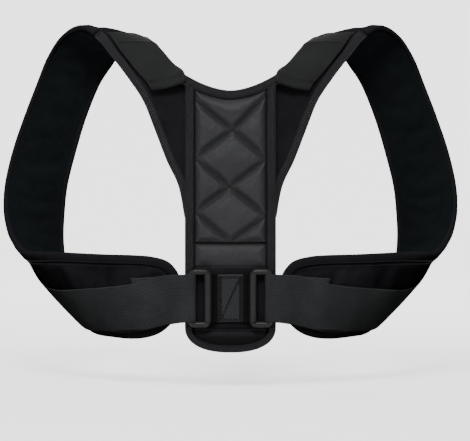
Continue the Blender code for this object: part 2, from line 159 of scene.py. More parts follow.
class BraceSizes(bpy.types.PropertyGroup):
    """Sizes that a maker would change."""
    puff: length_setting("Quilt puff", "How far a quilted diamond stands out", 8.0, 0.0)
    quilt_pitch: length_setting("Quilt pitch", "Height of one quilted diamond", 55.5, 10.0)
    stitch_pitch: length_setting("Stitch pitch", "Distance between two stitches", 2.6, 1.0)
    thread: length_setting("Thread", "Thickness of the sewing thread", 0.45, 0.1)
    web_thickness: length_setting("Webbing thickness", "Thickness of one layer", 1.3, 0.5)
    pad_half: length_setting("Pad half thickness", "Half of the pad's thickness", 5.6, 1.0)
    pad_edge: length_setting("Pad edge", "Half thickness under the pad's binding", 2.6, 0.3)
    rail: length_setting("Ring rail", "Radius of the ring's round bar", 3.1, 1.0)


class BraceColours(bpy.types.PropertyGroup):
    """Colours of the brace's materials."""
    satin: colour_setting("Satin", "Quilted cover", (0.0200, 0.0200, 0.0232))
    pad: colour_setting("Pad", "Strap cover", (0.0122, 0.0120, 0.0142))
    tape: colour_setting("Tape", "Edge tapes", (0.0065, 0.0064, 0.0078))
    webbing: colour_setting("Webbing", "Woven webbing", (0.0300, 0.0310, 0.0323))
    loop: colour_setting("Loop fabric", "Brushed wings", (0.0092, 0.0089, 0.0108))
    lining: colour_setting("Lining", "Spacer mesh", (0.0044, 0.0056, 0.0062))
    plastic: colour_setting("Plastic", "Rings", (0.0165, 0.0165, 0.0172))
    thread: colour_setting("Thread", "Sewing thread", (0.0018, 0.0018, 0.0021))
    overlock: colour_setting("Overlock", "Zigzag and overlock thread", (0.058, 0.058, 0.063))


def sizes():
    return bpy.context.scene.brace_sizes


def size_mm(name):
    return getattr(sizes(), name) / MM


def tone(colour, gain):
    return tuple(min(c * gain, 1.0) for c in colour)


def dye(name, gain=1.0):
    """A colour from the settings, made lighter or darker."""
    return tone(getattr(bpy.context.scene.brace_colours, name), gain)


# ------------------------------------------------------------------ curves and strips

def spline_at(values, s):
    """Smooth values at fractional stations of a list of points."""
    values = np.asarray(values, float)
    s = np.asarray(s, float)
    last = len(values) - 1
    i = np.clip(np.floor(s).astype(int), 0, last - 1)
    f = (s - i)[..., None]
    p1 = values[i]
    p2 = values[i + 1]
    p0 = np.where((i > 0)[..., None], values[np.maximum(i - 1, 0)], 2 * p1 - p2)
    p3 = np.where((i + 2 <= last)[..., None], values[np.minimum(i + 2, last)], 2 * p2 - p1)
    even = 2 * p1 + (2 * p0 - 5 * p1 + 4 * p2 - p3) * f * f
    odd = (p2 - p0) * f + (3 * p1 - p0 - 3 * p2 + p3) * f ** 3
    return 0.5 * (even + odd)


def unit(vectors):
    return vectors / np.maximum(np.linalg.norm(vectors, axis=-1, keepdims=True), 1e-9)


class Strip:
    """A band of cloth between two edge curves, bulged in the middle."""

    def __init__(self, stations):
        self.a = np.array([row[0] for row in stations], float)
        self.b = np.array([row[1] for row in stations], float)
        self.bulge = np.array([[row[2]] for row in stations], float)

    def flat(self, s, t):
        s, t = np.broadcast_arrays(s, t)
        a = spline_at(self.a, s)
        return a + (spline_at(self.b, s) - a) * t[..., None]

    def mid(self, s, t):
        s, t = np.broadcast_arrays(np.asarray(s, float), np.asarray(t, float))
        along = self.flat(s + 0.05, 0.5) - self.flat(s - 0.05, 0.5)
        across = self.flat(s, 1.0) - self.flat(s, 0.0)
        lift = 4.0 * (t * (1.0 - t))[..., None] * spline_at(self.bulge, s)
        return self.flat(s, t) + unit(np.cross(across, along)) * lift

    def directions(self, s, t):
        """Unit vectors along the strip, across it and out of it."""
        along = unit(self.mid(s + 0.04, t) - self.mid(s - 0.04, t))
        across = unit(self.mid(s, t + 0.02) - self.mid(s, t - 0.02))
        return along, across, unit(np.cross(across, along))

    def at(self, s, t, height):
        s, t = np.broadcast_arrays(np.asarray(s, float), np.asarray(t, float))
        normal = self.directions(s, t)[2]
        return self.mid(s, t) + normal * np.broadcast_to(height, s.shape)[..., None]

    def rows(self, first, last, step, share=0.5):
        """Stations about a step apart along the strip, and their distance from the first."""
        dense = np.linspace(first, last, 600)
        points = self.mid(dense, share)
        run = np.concatenate([[0.0], np.cumsum(np.linalg.norm(np.diff(points, axis=0), axis=1))])
        count = max(int(round(run[-1] / step)), 2)
        wanted = np.linspace(0.0, run[-1], count + 1)
        return np.interp(wanted, run, dense), wanted

    def width(self, s):
        return np.linalg.norm(self.mid(s, 1.0) - self.mid(s, 0.0), axis=-1)


LOOP = Strip(STATIONS)
WING = Strip([((-44.9, -4, 4), (-44.6, -3, 29), 0.0), ((-51.2, -2, 36), (-44.6, -3, 62), 0.0),
              ((-63.2, 1, 62), (-44.6, -3, 97), 0.5), ((-75.6, 5, 94), (-44.6, -3, 126), 1.0)]
             + [(STATIONS[4][0], (-47.0, -4, 147.5), 1.5), (STATIONS[5][0], (-57, 7, 157), 2.0),
                (STATIONS[6][0], (-70.5, 21, 171), 2.5)] + list(STATIONS[7:]))


def smooth(value):
    value = np.clip(value, 0.0, 1.0)
    return value * value * (3.0 - 2.0 * value)


def ripple(x, y, seed):
    """A soft repeatable wave field of about unit height."""
    total = 0.0
    for k in range(4):
        angle, fine = seed * 1.7 + k * 2.4, 1 + 0.6 * k
        total = total + np.sin(x * math.cos(angle) * fine + y * math.sin(angle) * fine
                               + seed * 3.1 * k)
    return total / 4.0


# ------------------------------------------------------------------ meshes

def add_object(name, data):
    item = bpy.data.objects.new(name, data)
    bpy.context.scene.collection.objects.link(item)
    return item


def face_outwards(mesh, merge=None):
    """Turn every face outwards, with points nearer than merge made one first."""
    work = bmesh.new()
    work.from_mesh(mesh)
    if merge is not None:
        bmesh.ops.remove_doubles(work, verts=work.verts, dist=merge)
    bmesh.ops.recalc_face_normals(work, faces=work.faces)
    work.to_mesh(mesh)
    work.free()


def make_object(name, verts, faces, material, u, v, mirror, sides=1):
    """A smooth-shaded object from millimetre points; its UV is in metres, once for each side."""
    mesh = bpy.data.meshes.new(name)
    mesh.from_pydata((verts * (mirror, 1.0, 1.0) * MM).tolist(), [], faces)
    uv = np.stack(np.broadcast_arrays(u, v), axis=-1).reshape(-1, 2)
    corner = np.zeros(len(mesh.loops), int)
    mesh.loops.foreach_get("vertex_index", corner)
    layer = mesh.uv_layers.new(name="UVMap")
    layer.data.foreach_set("uv", (np.tile(uv, (sides, 1))[corner] * MM).ravel())
    mesh.validate()
    face_outwards(mesh)
    mesh.shade_smooth()
    mesh.materials.append(material)
    return add_object(name, mesh)


def grid_faces(rows, cols, offset, order):
    i, j = np.meshgrid(np.arange(rows - 1), np.arange(cols - 1), indexing="ij")
    k = (offset + i * cols + j).ravel()
    return np.stack([k + step for step in order], axis=1).tolist()


def shell(name, upper, lower, u, v, material, mirror=1.0):
    """Closed body between two equal grids of points."""
    rows, cols = upper.shape[:2]
    half = rows * cols
    rim = [i * cols for i in range(rows)]
    rim += [(rows - 1) * cols + j for j in range(1, cols)]
    rim += [i * cols + cols - 1 for i in range(rows - 2, -1, -1)]
    rim += list(range(cols - 2, 0, -1))
    faces = grid_faces(rows, cols, 0, (0, 1, cols + 1, cols))
    faces += grid_faces(rows, cols, half, (0, cols, cols + 1, 1))
    faces += [(a, b, half + b, half + a) for a, b in zip(rim, rim[1:] + rim[:1])]
    verts = np.concatenate([upper.reshape(-1, 3), lower.reshape(-1, 3)])
    return make_object(name, verts, faces, material, u, v, mirror, 2)


def strip_piece(name, strip, span, cross, step, middle, half, material, mirror=1.0, warp=None):
    """Closed cloth on a strip; middle and half give heights from distances to its edges."""
    s, run = strip.rows(span[0], span[1], step)
    width = strip.width(s) * (cross[1] - cross[0])
    share = np.linspace(0.0, 1.0, max(int(round(width.max() / step)), 4) + 1)
    ss, tt = np.meshgrid(s, cross[0] + (cross[1] - cross[0]) * share, indexing="ij")
    side = np.minimum(share, 1.0 - share)[None, :] * width[:, None]
    end = np.minimum(run, run[-1] - run)[:, None] + 0.0 * side
    if warp is not None:
        ss, tt = warp(ss, tt)
    centre, thick = middle(ss, side, end), half(ss, side, end)
    return shell(name, strip.at(ss, tt, centre + thick), strip.at(ss, tt, centre - thick),
                 run[:, None], share[None, :] * width[:, None], material, mirror)


def rounded(height, radius):
    """Half thickness of a flat cloth whose edges are rounded off."""
    def profile(s, side, end):
        near = np.clip(np.minimum(side, end) / radius, 0.0, 1.0)
        return height * np.sqrt(np.clip(1.0 - (1.0 - near) ** 2, 0.02, 1.0))
    return profile


def path_run(points):
    steps = np.linalg.norm(np.diff(points, axis=0), axis=1)
    return np.concatenate([[0.0], np.cumsum(steps)])


def bake(item):
    """Replace an object's mesh by its evaluated one and drop the modifiers."""
    bpy.context.view_layer.update()
    graph = bpy.context.evaluated_depsgraph_get()
    fresh = bpy.data.meshes.new_from_object(item.evaluated_get(graph), depsgraph=graph)
    item.modifiers.clear()
    item.data = fresh
    fresh.shade_smooth()
    return item


def subdivided(item):
    modifier = item.modifiers.new("Subdivision", "SUBSURF")
    modifier.levels = modifier.render_levels = 1
    return bake(item)


CLOTH = {"quality": 6, "mass": 0.12, "tension_stiffness": 12, "compression_stiffness": 12,
         "shear_stiffness": 6, "bending_stiffness": 0.25, "air_damping": 4, "use_pressure": True}
CLOTH_FRAMES = 14
PUFF_LIMIT = 1.9 * MM


def inflate(item, pins, pressure, slack):
    """Blow up a mesh that is held by weighted pins, and limit how far a point moves."""
    scene = bpy.context.scene
    group = item.vertex_groups.new(name="held")
    for index, weight in enumerate(pins):
        if weight > 0.01:
            group.add([index], float(weight), "REPLACE")
    modifier = item.modifiers.new("Inflate", "CLOTH")
    cloth = modifier.settings
    for key, value in CLOTH.items():
        setattr(cloth, key, value)
    cloth.vertex_group_mass = group.name
    cloth.uniform_pressure_force = pressure
    cloth.shrink_min = -slack
    cloth.effector_weights.gravity = 0.0
    modifier.collision_settings.use_collision = False
    modifier.collision_settings.use_self_collision = False
    modifier.point_cache.frame_start = 1
    modifier.point_cache.frame_end = CLOTH_FRAMES
    rest = np.empty(len(item.data.vertices) * 3)
    item.data.vertices.foreach_get("co", rest)
    for number in range(1, CLOTH_FRAMES + 1):
        scene.frame_set(number)
    moved = np.empty_like(rest)
    evaluated = item.evaluated_get(bpy.context.evaluated_depsgraph_get())
    evaluated.data.vertices.foreach_get("co", moved)
    item.modifiers.clear()
    item.vertex_groups.clear()
    shift = (moved - rest).reshape(-1, 3)
    far = np.maximum(np.linalg.norm(shift, axis=1, keepdims=True), 1e-9)
    shift *= PUFF_LIMIT * np.tanh(far / PUFF_LIMIT) / far
    item.data.vertices.foreach_set("co", (rest.reshape(-1, 3) + shift).ravel())
    item.data.update()
    scene.frame_set(1)


# ------------------------------------------------------------------ geometry nodes

class Tree:
    """A Geometry Nodes tree with named inputs that ends in real geometry of one material."""

    def __init__(self, name):
        self.group = bpy.data.node_groups.new(name, "GeometryNodeTree")
        for side in ("OUTPUT", "INPUT"):
            self.group.interface.new_socket(
                "Geometry", in_out=side, socket_type="NodeSocketGeometry")
        self.start = self.group.nodes.new("NodeGroupInput")
        self.end = self.group.nodes.new("NodeGroupOutput")
        self.keys = {}
        self.value("Material", "NodeSocketMaterial")

    def value(self, name, kind, default=None):
        socket = self.group.interface.new_socket(name, in_out="INPUT", socket_type=kind)
        if default is not None:
            socket.default_value = default
        self.keys[name] = socket.identifier
        return self.start.outputs[name]

    def sizes(self, **defaults):
        return [self.value(name, "NodeSocketFloat", size) for name, size in defaults.items()]

    def node(self, kind, settings=None, **inputs):
        """Add a node; i0, i1 are inputs by number, and _ stands for a space in a name."""
        made = self.group.nodes.new(kind)
        for key, setting in (settings or {}).items():
            setattr(made, key, setting)
        for key, link in inputs.items():
            socket = made.inputs[int(key[1:]) if key[1:].isdigit() else key.replace("_", " ")]
            if isinstance(link, bpy.types.NodeSocket):
                self.group.links.new(link, socket)
            else:
                socket.default_value = link
        return made.outputs[0]

    def maths(self, operation, *values):
        return self.node("ShaderNodeMath", {"operation": operation},
                         **{f"i{k}": value for k, value in enumerate(values)})

    def direction(self, name):
        return self.node("GeometryNodeInputNamedAttribute", {"data_type": "FLOAT_VECTOR"},
                         Name=name)

    def even_line(self, pitch):
        """The input mesh's lines as curves with a point at every pitch."""
        curve = self.node("GeometryNodeMeshToCurve", Mesh=self.start.outputs["Geometry"])
        return self.node("GeometryNodeResampleCurve", {"mode": "LENGTH"},
                         Curve=curve, Length=pitch)

    def swept(self, curve, sides, radius, **settings):
        circle = self.node("GeometryNodeCurvePrimitiveCircle", Resolution=sides, Radius=radius)
        return self.node("GeometryNodeCurveToMesh", Curve=curve, Profile_Curve=circle, **settings)

    def close(self, geometry):
        real = self.node("GeometryNodeRealizeInstances", Geometry=geometry)
        done = self.node("GeometryNodeSetMaterial", Geometry=real,
                         Material=self.start.outputs["Material"])
        self.group.links.new(done, self.end.inputs[0])
        return self


@cache
def stitch_tree():
    """Short thread bars laid end to end along each line of the input mesh."""
    tree = Tree("stitch_row")
    pitch, thread, fill = tree.sizes(Pitch=0.0026, Thread=0.00045, Fill=0.72)
    even = tree.even_line(pitch)
    turn = tree.node("FunctionNodeAxesToRotation", {"primary_axis": "X", "secondary_axis": "Z"},
                     Primary_Axis=tree.node("GeometryNodeInputTangent"),
                     Secondary_Axis=tree.direction("up"))
    size = tree.node("ShaderNodeCombineXYZ", X=tree.maths("MULTIPLY", pitch, fill),
                     Y=thread, Z=thread)
    bar = tree.node("GeometryNodeMeshUVSphere", Segments=6, Rings=5, Radius=0.62)
    return tree.close(tree.node("GeometryNodeInstanceOnPoints", Points=even, Instance=bar,
                                Rotation=turn, Scale=size))


@cache
def zigzag_tree():
    """One thread that swings from side to side along each line of the input mesh."""
    tree = Tree("zigzag_row")
    pitch, thread, reach = tree.sizes(Pitch=0.0022, Thread=0.0005, Reach=0.003)
    even = tree.even_line(pitch)
    odd = tree.maths("MODULO", tree.node("GeometryNodeInputIndex"), 2.0)
    swing = tree.maths("MULTIPLY", tree.maths("MULTIPLY_ADD", odd, 2.0, -1.0), reach)
    shift = tree.node("ShaderNodeVectorMath", {"operation": "SCALE"},
                      i0=tree.direction("across"), Scale=swing)
    moved = tree.node("GeometryNodeSetPosition", Geometry=even, Offset=shift)
    return tree.close(tree.swept(moved, 5, thread, Fill_Caps=True))


@cache
def ring_tree():
    """Rectangular ring of round bar, standing in the XZ plane."""
    tree = Tree("ring_bar")
    width, height, corner, radius = tree.sizes(
        Width=0.0165, Height=0.054, Corner=0.0036, Radius=0.0028)
    centre = tree.value("Centre", "NodeSocketVector")
    outline = tree.node("GeometryNodeCurvePrimitiveQuadrilateral", Width=width, Height=height)
    soft = tree.node("GeometryNodeFilletCurve", {"mode": "POLY"}, Curve=outline, Radius=corner,
                     Count=8)
    upright = tree.node("GeometryNodeTransform", Geometry=soft, Translation=centre,
                        Rotation=(math.pi / 2, 0.0, 0.0))
    bar = tree.swept(upright, 24, radius)
    return tree.close(tree.node("GeometryNodeSetShadeSmooth", Geometry=bar))


def run_tree(item, tree, **inputs):
    """Set the tree's inputs by identifier, evaluate it and keep a plain mesh."""
    modifier = item.modifiers.new(tree.group.name, "NODES")
    modifier.node_group = tree.group
    for name, value in inputs.items():
        modifier[tree.keys[name]] = value
    return bake(item)


def line_object(name, lines, mirror):
    """Polylines as a mesh of edges with their up and across directions."""
    verts, ups, sides = (np.concatenate(group) for group in zip(*lines))
    edges, base = [], 0
    for points, _, _ in lines:
        edges += [(base + i, base + i + 1) for i in range(len(points) - 1)]
        base += len(points)
    flip = np.array([mirror, 1.0, 1.0])
    mesh = bpy.data.meshes.new(name)
    mesh.from_pydata((verts * flip * MM).tolist(), edges, [])
    for key, vectors in (("up", ups), ("across", sides)):
        attribute = mesh.attributes.new(key, "FLOAT_VECTOR", "POINT")
        attribute.data.foreach_set("vector", (vectors * flip).astype(np.float32).ravel())
    return add_object(name, mesh)


def stitches(name, lines, pitch=1.0, thread=1.0, mirror=1.0, material=None):
    item = line_object(name, lines, mirror)
    return run_tree(item, stitch_tree(), Pitch=sizes().stitch_pitch * pitch,
                    Thread=sizes().thread * thread * 2.0, Fill=0.72,
                    Material=material or thread_cotton())


def zigzags(name, lines, pitch, reach, thread, mirror, material=None):
    item = line_object(name, lines, mirror)
    return run_tree(item, zigzag_tree(), Pitch=pitch * MM, Reach=reach * MM,
                    Thread=sizes().thread * thread, Material=material or overlock_thread())




def strip_line(strip, s, t, height):
    """A sewing line on a strip: its points, up and across directions."""
    s, t = np.broadcast_arrays(np.asarray(s, float), np.asarray(t, float))
    _, across, normal = strip.directions(s, t)
    return strip.at(s, t, height), normal, across


def flat_line(points):
    """A sewing line on the panel's face, from x, y, z points."""
    points = np.asarray(points, float)
    up = np.tile((0.0, -1.0, 0.0), (len(points), 1))
    tangent = unit(np.gradient(points, axis=0))
    return points, up, np.cross(up, tangent)


def straight_line(start, end, y, count):
    """A straight sewing line on the panel's face between two x, z places."""
    share = np.linspace(0.0, 1.0, count)
    (x0, z0), (x1, z1) = start, end
    return flat_line(np.stack([x0 + (x1 - x0) * share, np.full(count, y),
                               z0 + (z1 - z0) * share], 1))


# ------------------------------------------------------------------ shader expressions

def operation(name, turned=False):
    """A method that adds one Math node."""
    def method(self, *others):
        values = (*others, self) if turned else (self, *others)
        return self.paint.node("ShaderNodeMath", {"operation": name}, dict(enumerate(values)))
    return method


class Sock:
    """A node socket that adds Math nodes when it is used in an expression."""
    __add__ = __radd__ = operation("ADD")
    __sub__, __rsub__ = operation("SUBTRACT"), operation("SUBTRACT", turned=True)
    __mul__ = __rmul__ = operation("MULTIPLY")
    __truediv__ = operation("DIVIDE")
    __pow__ = operation("POWER")
    sin, absolute = operation("SINE"), operation("ABSOLUTE")
    fraction, floor = operation("FRACT"), operation("FLOOR")
    minimum, maximum = operation("MINIMUM"), operation("MAXIMUM")

    def __init__(self, paint, socket):
        self.paint = paint
        self.socket = socket

    def clip(self):
        return self.maximum(0.0).minimum(1.0)

    def above(self, edge, soft):
        """0 below the edge and 1 above it, with a soft step between."""
        return self.paint.node("ShaderNodeMapRange", {"interpolation_type": "SMOOTHSTEP"},
                               {"Value": self, "From Min": edge - soft, "From Max": edge + soft})


class Paint:
    """A material's node tree with one method for every node."""

    def __init__(self, name, level, **fixed):
        self.material = bpy.data.materials.new(name)
        self.material.use_nodes = True
        self.nodes = self.material.node_tree.nodes
        self.links = self.material.node_tree.links
        self.shader = next(n for n in self.nodes if n.type == "BSDF_PRINCIPLED")
        for key, value in {"Specular IOR Level": level, **fixed}.items():
            self.shader.inputs[key.replace("_", " ")].default_value = value

    def node(self, kind, settings=None, inputs=None, output=0):
        made = self.nodes.new(kind)
        for key, value in (settings or {}).items():
            setattr(made, key, value)
        for key, value in (inputs or {}).items():
            self.join(value, made.inputs[key])
        return Sock(self, made.outputs[output])

    def join(self, value, socket):
        if isinstance(value, Sock):
            self.links.new(value.socket, socket)
        elif socket.type == "RGBA" and len(value) == 3:
            socket.default_value = (*value, 1.0)
        else:
            socket.default_value = value

    def split(self, vector):
        made = self.node("ShaderNodeSeparateXYZ", None, {0: vector}).socket.node
        return [Sock(self, socket) for socket in made.outputs]

    def uv(self):
        return self.split(self.node("ShaderNodeTexCoord", output="UV"))[:2]

    def place(self):
        return self.node("ShaderNodeTexCoord", output="Object")

    # The points' painted shade, as stored by shade_points.
    def shade(self):
        return self.node("ShaderNodeAttribute", {"attribute_name": "shade"}, output="Fac")

    def vector(self, x, y, z=0.0):
        return self.node("ShaderNodeCombineXYZ", None, {0: x, 1: y, 2: z})

    def noise(self, vector, scale, detail=3.0, rough=0.55):
        return self.node("ShaderNodeTexNoise", None,
                         {"Vector": vector, "Scale": scale, "Detail": detail, "Roughness": rough})

    def cells(self, vector, scale, randomness=1.0):
        return self.node("ShaderNodeTexVoronoi", None,
                         {"Vector": vector, "Scale": scale, "Randomness": randomness})

    def mix(self, share, first, second):
        return self.node("ShaderNodeMix", {"data_type": "RGBA"}, {0: share, 6: first, 7: second}, 2)

    def bump(self, height, distance, strength, under=None):
        inputs = {"Height": height, "Distance": distance, "Strength": strength}
        if under is not None:
            inputs["Normal"] = under
        return self.node("ShaderNodeBump", None, inputs)

    def dusted(self, place, colour, speck, share=0.3, scale=900.0):
        """Sparse pale specks of lint over a colour."""
        cell = self.cells(place, scale)
        lint = (1.0 - cell.above(0.10, 0.06)) * self.noise(place, 40.0).above(0.60, 0.06)
        return self.mix(lint * share, colour, speck)

    def finish(self, colour, rough, normal=None, coat=None):
        for key, value in (("Base Color", colour), ("Roughness", rough), ("Normal", normal),
                           ("Coat Weight", coat)):
            if value is not None:
                self.join(value, self.shader.inputs[key])
        return self.material


def shade_points(item, values):
    """Store each point's painted shade, from 0 to 1, as in folds, on the tongue and beside the ring
    loops.
    """
    layer = item.data.attributes.new("shade", "FLOAT", "POINT")
    layer.data.foreach_set("value", np.asarray(values, np.float32).ravel())


def weave(warp, weft, soft):
    """Where one thread of a plain weave passes over the other."""
    return (warp.sin() * weft.sin()).above(0.0, soft)


def ridge(run):
    """0 in the middle of each step of a run and 1 at its ends."""
    return (run.fraction() - 0.5).absolute() * 2.0


def satin(name, level):
    paint = Paint(name, level)
    place = paint.place()
    x, _, z = paint.split(place)
    over = weave(x * 7400.0, z * 6200.0, 0.7)
    slub = paint.noise(paint.vector(x * 160.0, 0.0, z * 2600.0), 1.0, 2.0)
    cloud = paint.noise(place, 26.0, 4.0)
    crease = paint.noise(paint.vector(x * 90.0, 0.0, z * 240.0), 1.0, 5.0, 0.62)
    shade = cloud.above(0.5, 0.24) * 0.5 + slub * 0.35 + over * 0.15
    colour = paint.mix(shade, dye("satin", 0.62), dye("satin", 1.5))
    colour = paint.dusted(place, colour, dye("satin", 3.4))
    # Painted shade: the points' shade attribute darkens the satin in the quilting folds and on the
    # tongue.
    colour = paint.mix(paint.shade(), colour, dye("satin", 0.10))
    soft = paint.bump(crease, 0.0009, 0.20)
    fine = paint.bump(over + slub * 0.8, 0.00010, 0.55, soft)
    return paint.finish(colour, 0.47 + over * 0.08 + cloud * 0.10, fine)


@cache
def quilted_satin():
    return satin("quilted_satin", 0.22)


@cache
def tongue_satin():
    return satin("tongue_satin", 0.05)


@cache
def strap_satin():
    paint = Paint("strap_satin", 0.0)
    u, v = paint.uv()
    place = paint.place()
    over = weave(u * 6800.0, v * 6800.0, 0.7)
    cloud = paint.noise(place, 30.0, 4.0)
    crease = paint.noise(paint.vector(u * 150.0, v * 60.0), 1.0, 4.0, 0.6)
    colour = paint.mix(cloud.above(0.5, 0.25) * 0.7 + over * 0.3,
                       dye("pad", 0.65), dye("pad", 1.45))
    colour = paint.dusted(place, colour, dye("pad", 6.0))
    fine = paint.bump(over, 0.00012, 0.55, paint.bump(crease, 0.0010, 0.40))
    return paint.finish(colour, 0.46 + over * 0.10 + cloud * 0.10, fine)


def twill(name, level, gain):
    paint = Paint(name, level)
    base = dye("webbing", gain)
    u, v = paint.uv()
    place = paint.place()
    rib = 0.0023
    row = (v / rib).floor()
    yarn, valley = ridge(u / rib + v / rib * 0.5), ridge(v / rib)
    height = (1.0 - yarn ** 2.0) * 0.65 + (1.0 - valley ** 3.0) * 0.35
    fibre = paint.noise(paint.vector(u * 2600.0 + row * 7.0, v * 900.0), 1.0, 3.0)
    cloud = paint.noise(place, 40.0, 3.0)
    colour = paint.mix((height * 0.65 + fibre * 0.35).clip(), tone(base, 0.12), tone(base, 1.75))
    colour = paint.mix(cloud.above(0.58, 0.2) * 0.25, colour, tone(base, 2.2))
    colour = paint.dusted(place, colour, tone(base, 4.5))
    # Painted shade: the points' shade attribute darkens the webbing, as on the anchor loops'
    # slopes.
    colour = paint.mix(paint.shade(), colour, tone(base, 0.06))
    normal = paint.bump(height + fibre * 0.25, 0.00045, 0.85)
    return paint.finish(colour, 0.62 + fibre * 0.16 - height * 0.08, normal)


@cache
def twill_webbing():
    return twill("twill_webbing", 0.0, 1.0)


@cache
def twill_patch():
    return twill("twill_patch", 0.05, 0.98)


def ribbed(name, base, level):
    paint = Paint(name, level)
    u, v = paint.uv()
    place = paint.place()
    rib, fine = ridge(u / 0.00125), ridge(v / 0.0006)
    height = (1.0 - rib ** 2.0) * 0.75 + (1.0 - fine ** 2.0) * 0.25
    cloud = paint.noise(place, 60.0, 3.0)
    colour = paint.mix((height * 0.7 + cloud * 0.3).clip(), tone(base, 0.4), tone(base, 1.9))
    colour = paint.dusted(place, colour, tone(base, 6.0))
    return paint.finish(colour, 0.52 + cloud * 0.2, paint.bump(height, 0.00028, 0.8))


@cache
def ribbed_tape():
    return ribbed("ribbed_tape", dye("tape"), 0.14)


@cache
def ribbed_binding():
    return ribbed("ribbed_binding", dye("pad", 0.9), 0.0)


@cache
def brushed_loop():
    paint = Paint("brushed_loop", 0.05, Sheen_Weight=0.02, Sheen_Roughness=0.6)
    place = paint.place()
    tuft = paint.cells(place, 1150.0)
    nap = paint.noise(place, 1500.0, 4.0, 0.7)
    drift = paint.noise(place, 34.0, 4.0)
    height = (1.0 - tuft.clip()) * 0.6 + nap * 0.4
    colour = paint.mix((height * 0.7 + drift.above(0.5, 0.2) * 0.3).clip(),
                       dye("loop", 0.35), dye("loop", 1.9))
    colour = paint.dusted(place, colour, dye("loop", 7.0), 0.35, 700.0)
    normal = paint.bump(height, 0.0005, 0.7, paint.bump(drift, 0.0012, 0.4))
    return paint.finish(colour, 0.86 + nap * 0.1, normal)


@cache
def spacer_lining():
    paint = Paint("spacer_lining", 0.03)
    u, v = paint.uv()
    place = paint.place()
    pitch = 0.0024
    row = (v / pitch).floor()
    du = ((u / pitch + row * 0.5).fraction() - 0.5) * 2.0
    dv = ((v / pitch).fraction() - 0.5) * 2.0
    hole = 1.0 - (du * du + dv * dv * 1.2).above(0.32, 0.22)
    cloud = paint.noise(place, 30.0, 4.0)
    crease = paint.noise(paint.vector(u * 60.0, v * 130.0), 1.0, 4.0, 0.6)
    knit = paint.noise(place, 2400.0, 2.0)
    colour = paint.mix(hole, dye("lining", 1.5), dye("lining", 0.22))
    colour = paint.mix(cloud.above(0.5, 0.3) * 0.5, colour, dye("lining", 1.9))
    colour = paint.dusted(place, colour, dye("lining", 12.0))
    soft = paint.bump(crease, 0.0012, 0.5)
    normal = paint.bump((1.0 - hole) + knit * 0.25, 0.0005, 0.55, soft)
    return paint.finish(colour, 0.70 + knit * 0.15, normal)


@cache
def glossy_plastic():
    paint = Paint("glossy_plastic", 0.13, IOR=1.5, Coat_Roughness=0.2)
    place = paint.place()
    grain = paint.noise(place, 1400.0, 2.0)
    cloud = paint.noise(place, 55.0, 3.0)
    drawn = paint.node("ShaderNodeMapping", None, {"Vector": place, "Scale": (1.0, 1.0, 0.15)})
    worn = paint.noise(drawn, 700.0, 3.0).above(0.66, 0.05)
    colour = paint.mix(cloud.above(0.5, 0.25), dye("plastic", 0.8), dye("plastic", 1.25))
    colour = paint.mix(worn * 0.35, colour, dye("plastic", 3.2))
    normal = paint.bump(grain + cloud * 2.0, 0.00006, 0.5)
    return paint.finish(colour, 0.30 + cloud * 0.10 + worn * 0.18, normal, 0.03 - worn * 0.03)


@cache
def hook_tape():
    paint = Paint("hook_tape", 0.4)
    base = dye("tape", 0.9)
    place = paint.place()
    hooks = 1.0 - paint.cells(place, 900.0, 0.25).clip()
    cloud = paint.noise(place, 60.0, 3.0)
    colour = paint.mix(hooks, tone(base, 0.4), tone(base, 2.2))
    return paint.finish(colour, 0.5 + cloud * 0.2, paint.bump(hooks, 0.0007, 0.9))


@cache
def tab_webbing():
    paint = Paint("tab_webbing", 0.09)
    base = dye("webbing", 0.38)
    u, v = paint.uv()
    place = paint.place()
    over = weave(u * 5200.0, v * 4400.0, 0.6)
    slub = paint.noise(paint.vector(u * 300.0, v * 2400.0), 1.0, 2.0)
    cloud = paint.noise(place, 32.0, 4.0)
    height = over * 0.6 + slub * 0.4
    colour = paint.mix(height, tone(base, 0.45), tone(base, 1.5))
    colour = paint.mix(cloud.above(0.55, 0.2) * 0.3, colour, tone(base, 2.0))
    colour = paint.dusted(place, colour, tone(base, 4.5))
    soft = paint.bump(paint.noise(place, 120.0, 4.0), 0.0009, 0.35)
    return paint.finish(colour, 0.58 + slub * 0.15, paint.bump(height, 0.00022, 0.7, soft))


def twisted_thread(name, base):
    paint = Paint(name, 0.2)
    place = paint.place()
    x, y, z = paint.split(place)
    twist = ((x + y + z) * 9000.0).sin() * 0.5 + 0.5
    cloud = paint.noise(place, 300.0, 2.0)
    colour = paint.mix((twist * 0.5 + cloud * 0.5).clip(), tone(base, 0.5), tone(base, 1.6))
    return paint.finish(colour, 0.55 + cloud * 0.2, paint.bump(twist, 0.00012, 0.6))


@cache
def thread_cotton():
    return twisted_thread("thread_cotton", dye("thread"))


@cache
def overlock_thread():
    return twisted_thread("overlock_thread", dye("overlock"))


@cache
def pale_thread():
    paint = Paint("pale_thread", 0.4)
    cloud = paint.noise(paint.place(), 400.0, 2.0)
    colour = paint.mix(cloud, (0.16, 0.155, 0.15), (0.34, 0.33, 0.32))
    return paint.finish(colour, 0.6 + cloud * 0.2)


@cache
def stay_board():
    paint = Paint("stay_board", 0.4)
    place = paint.place()
    cloud = paint.noise(place, 80.0, 3.0)
    grain = paint.noise(place, 900.0, 2.0)
    colour = paint.mix(cloud, (0.02, 0.02, 0.022), (0.05, 0.05, 0.055))
    return paint.finish(colour, 0.45 + grain * 0.2, paint.bump(grain, 0.0001, 0.5))


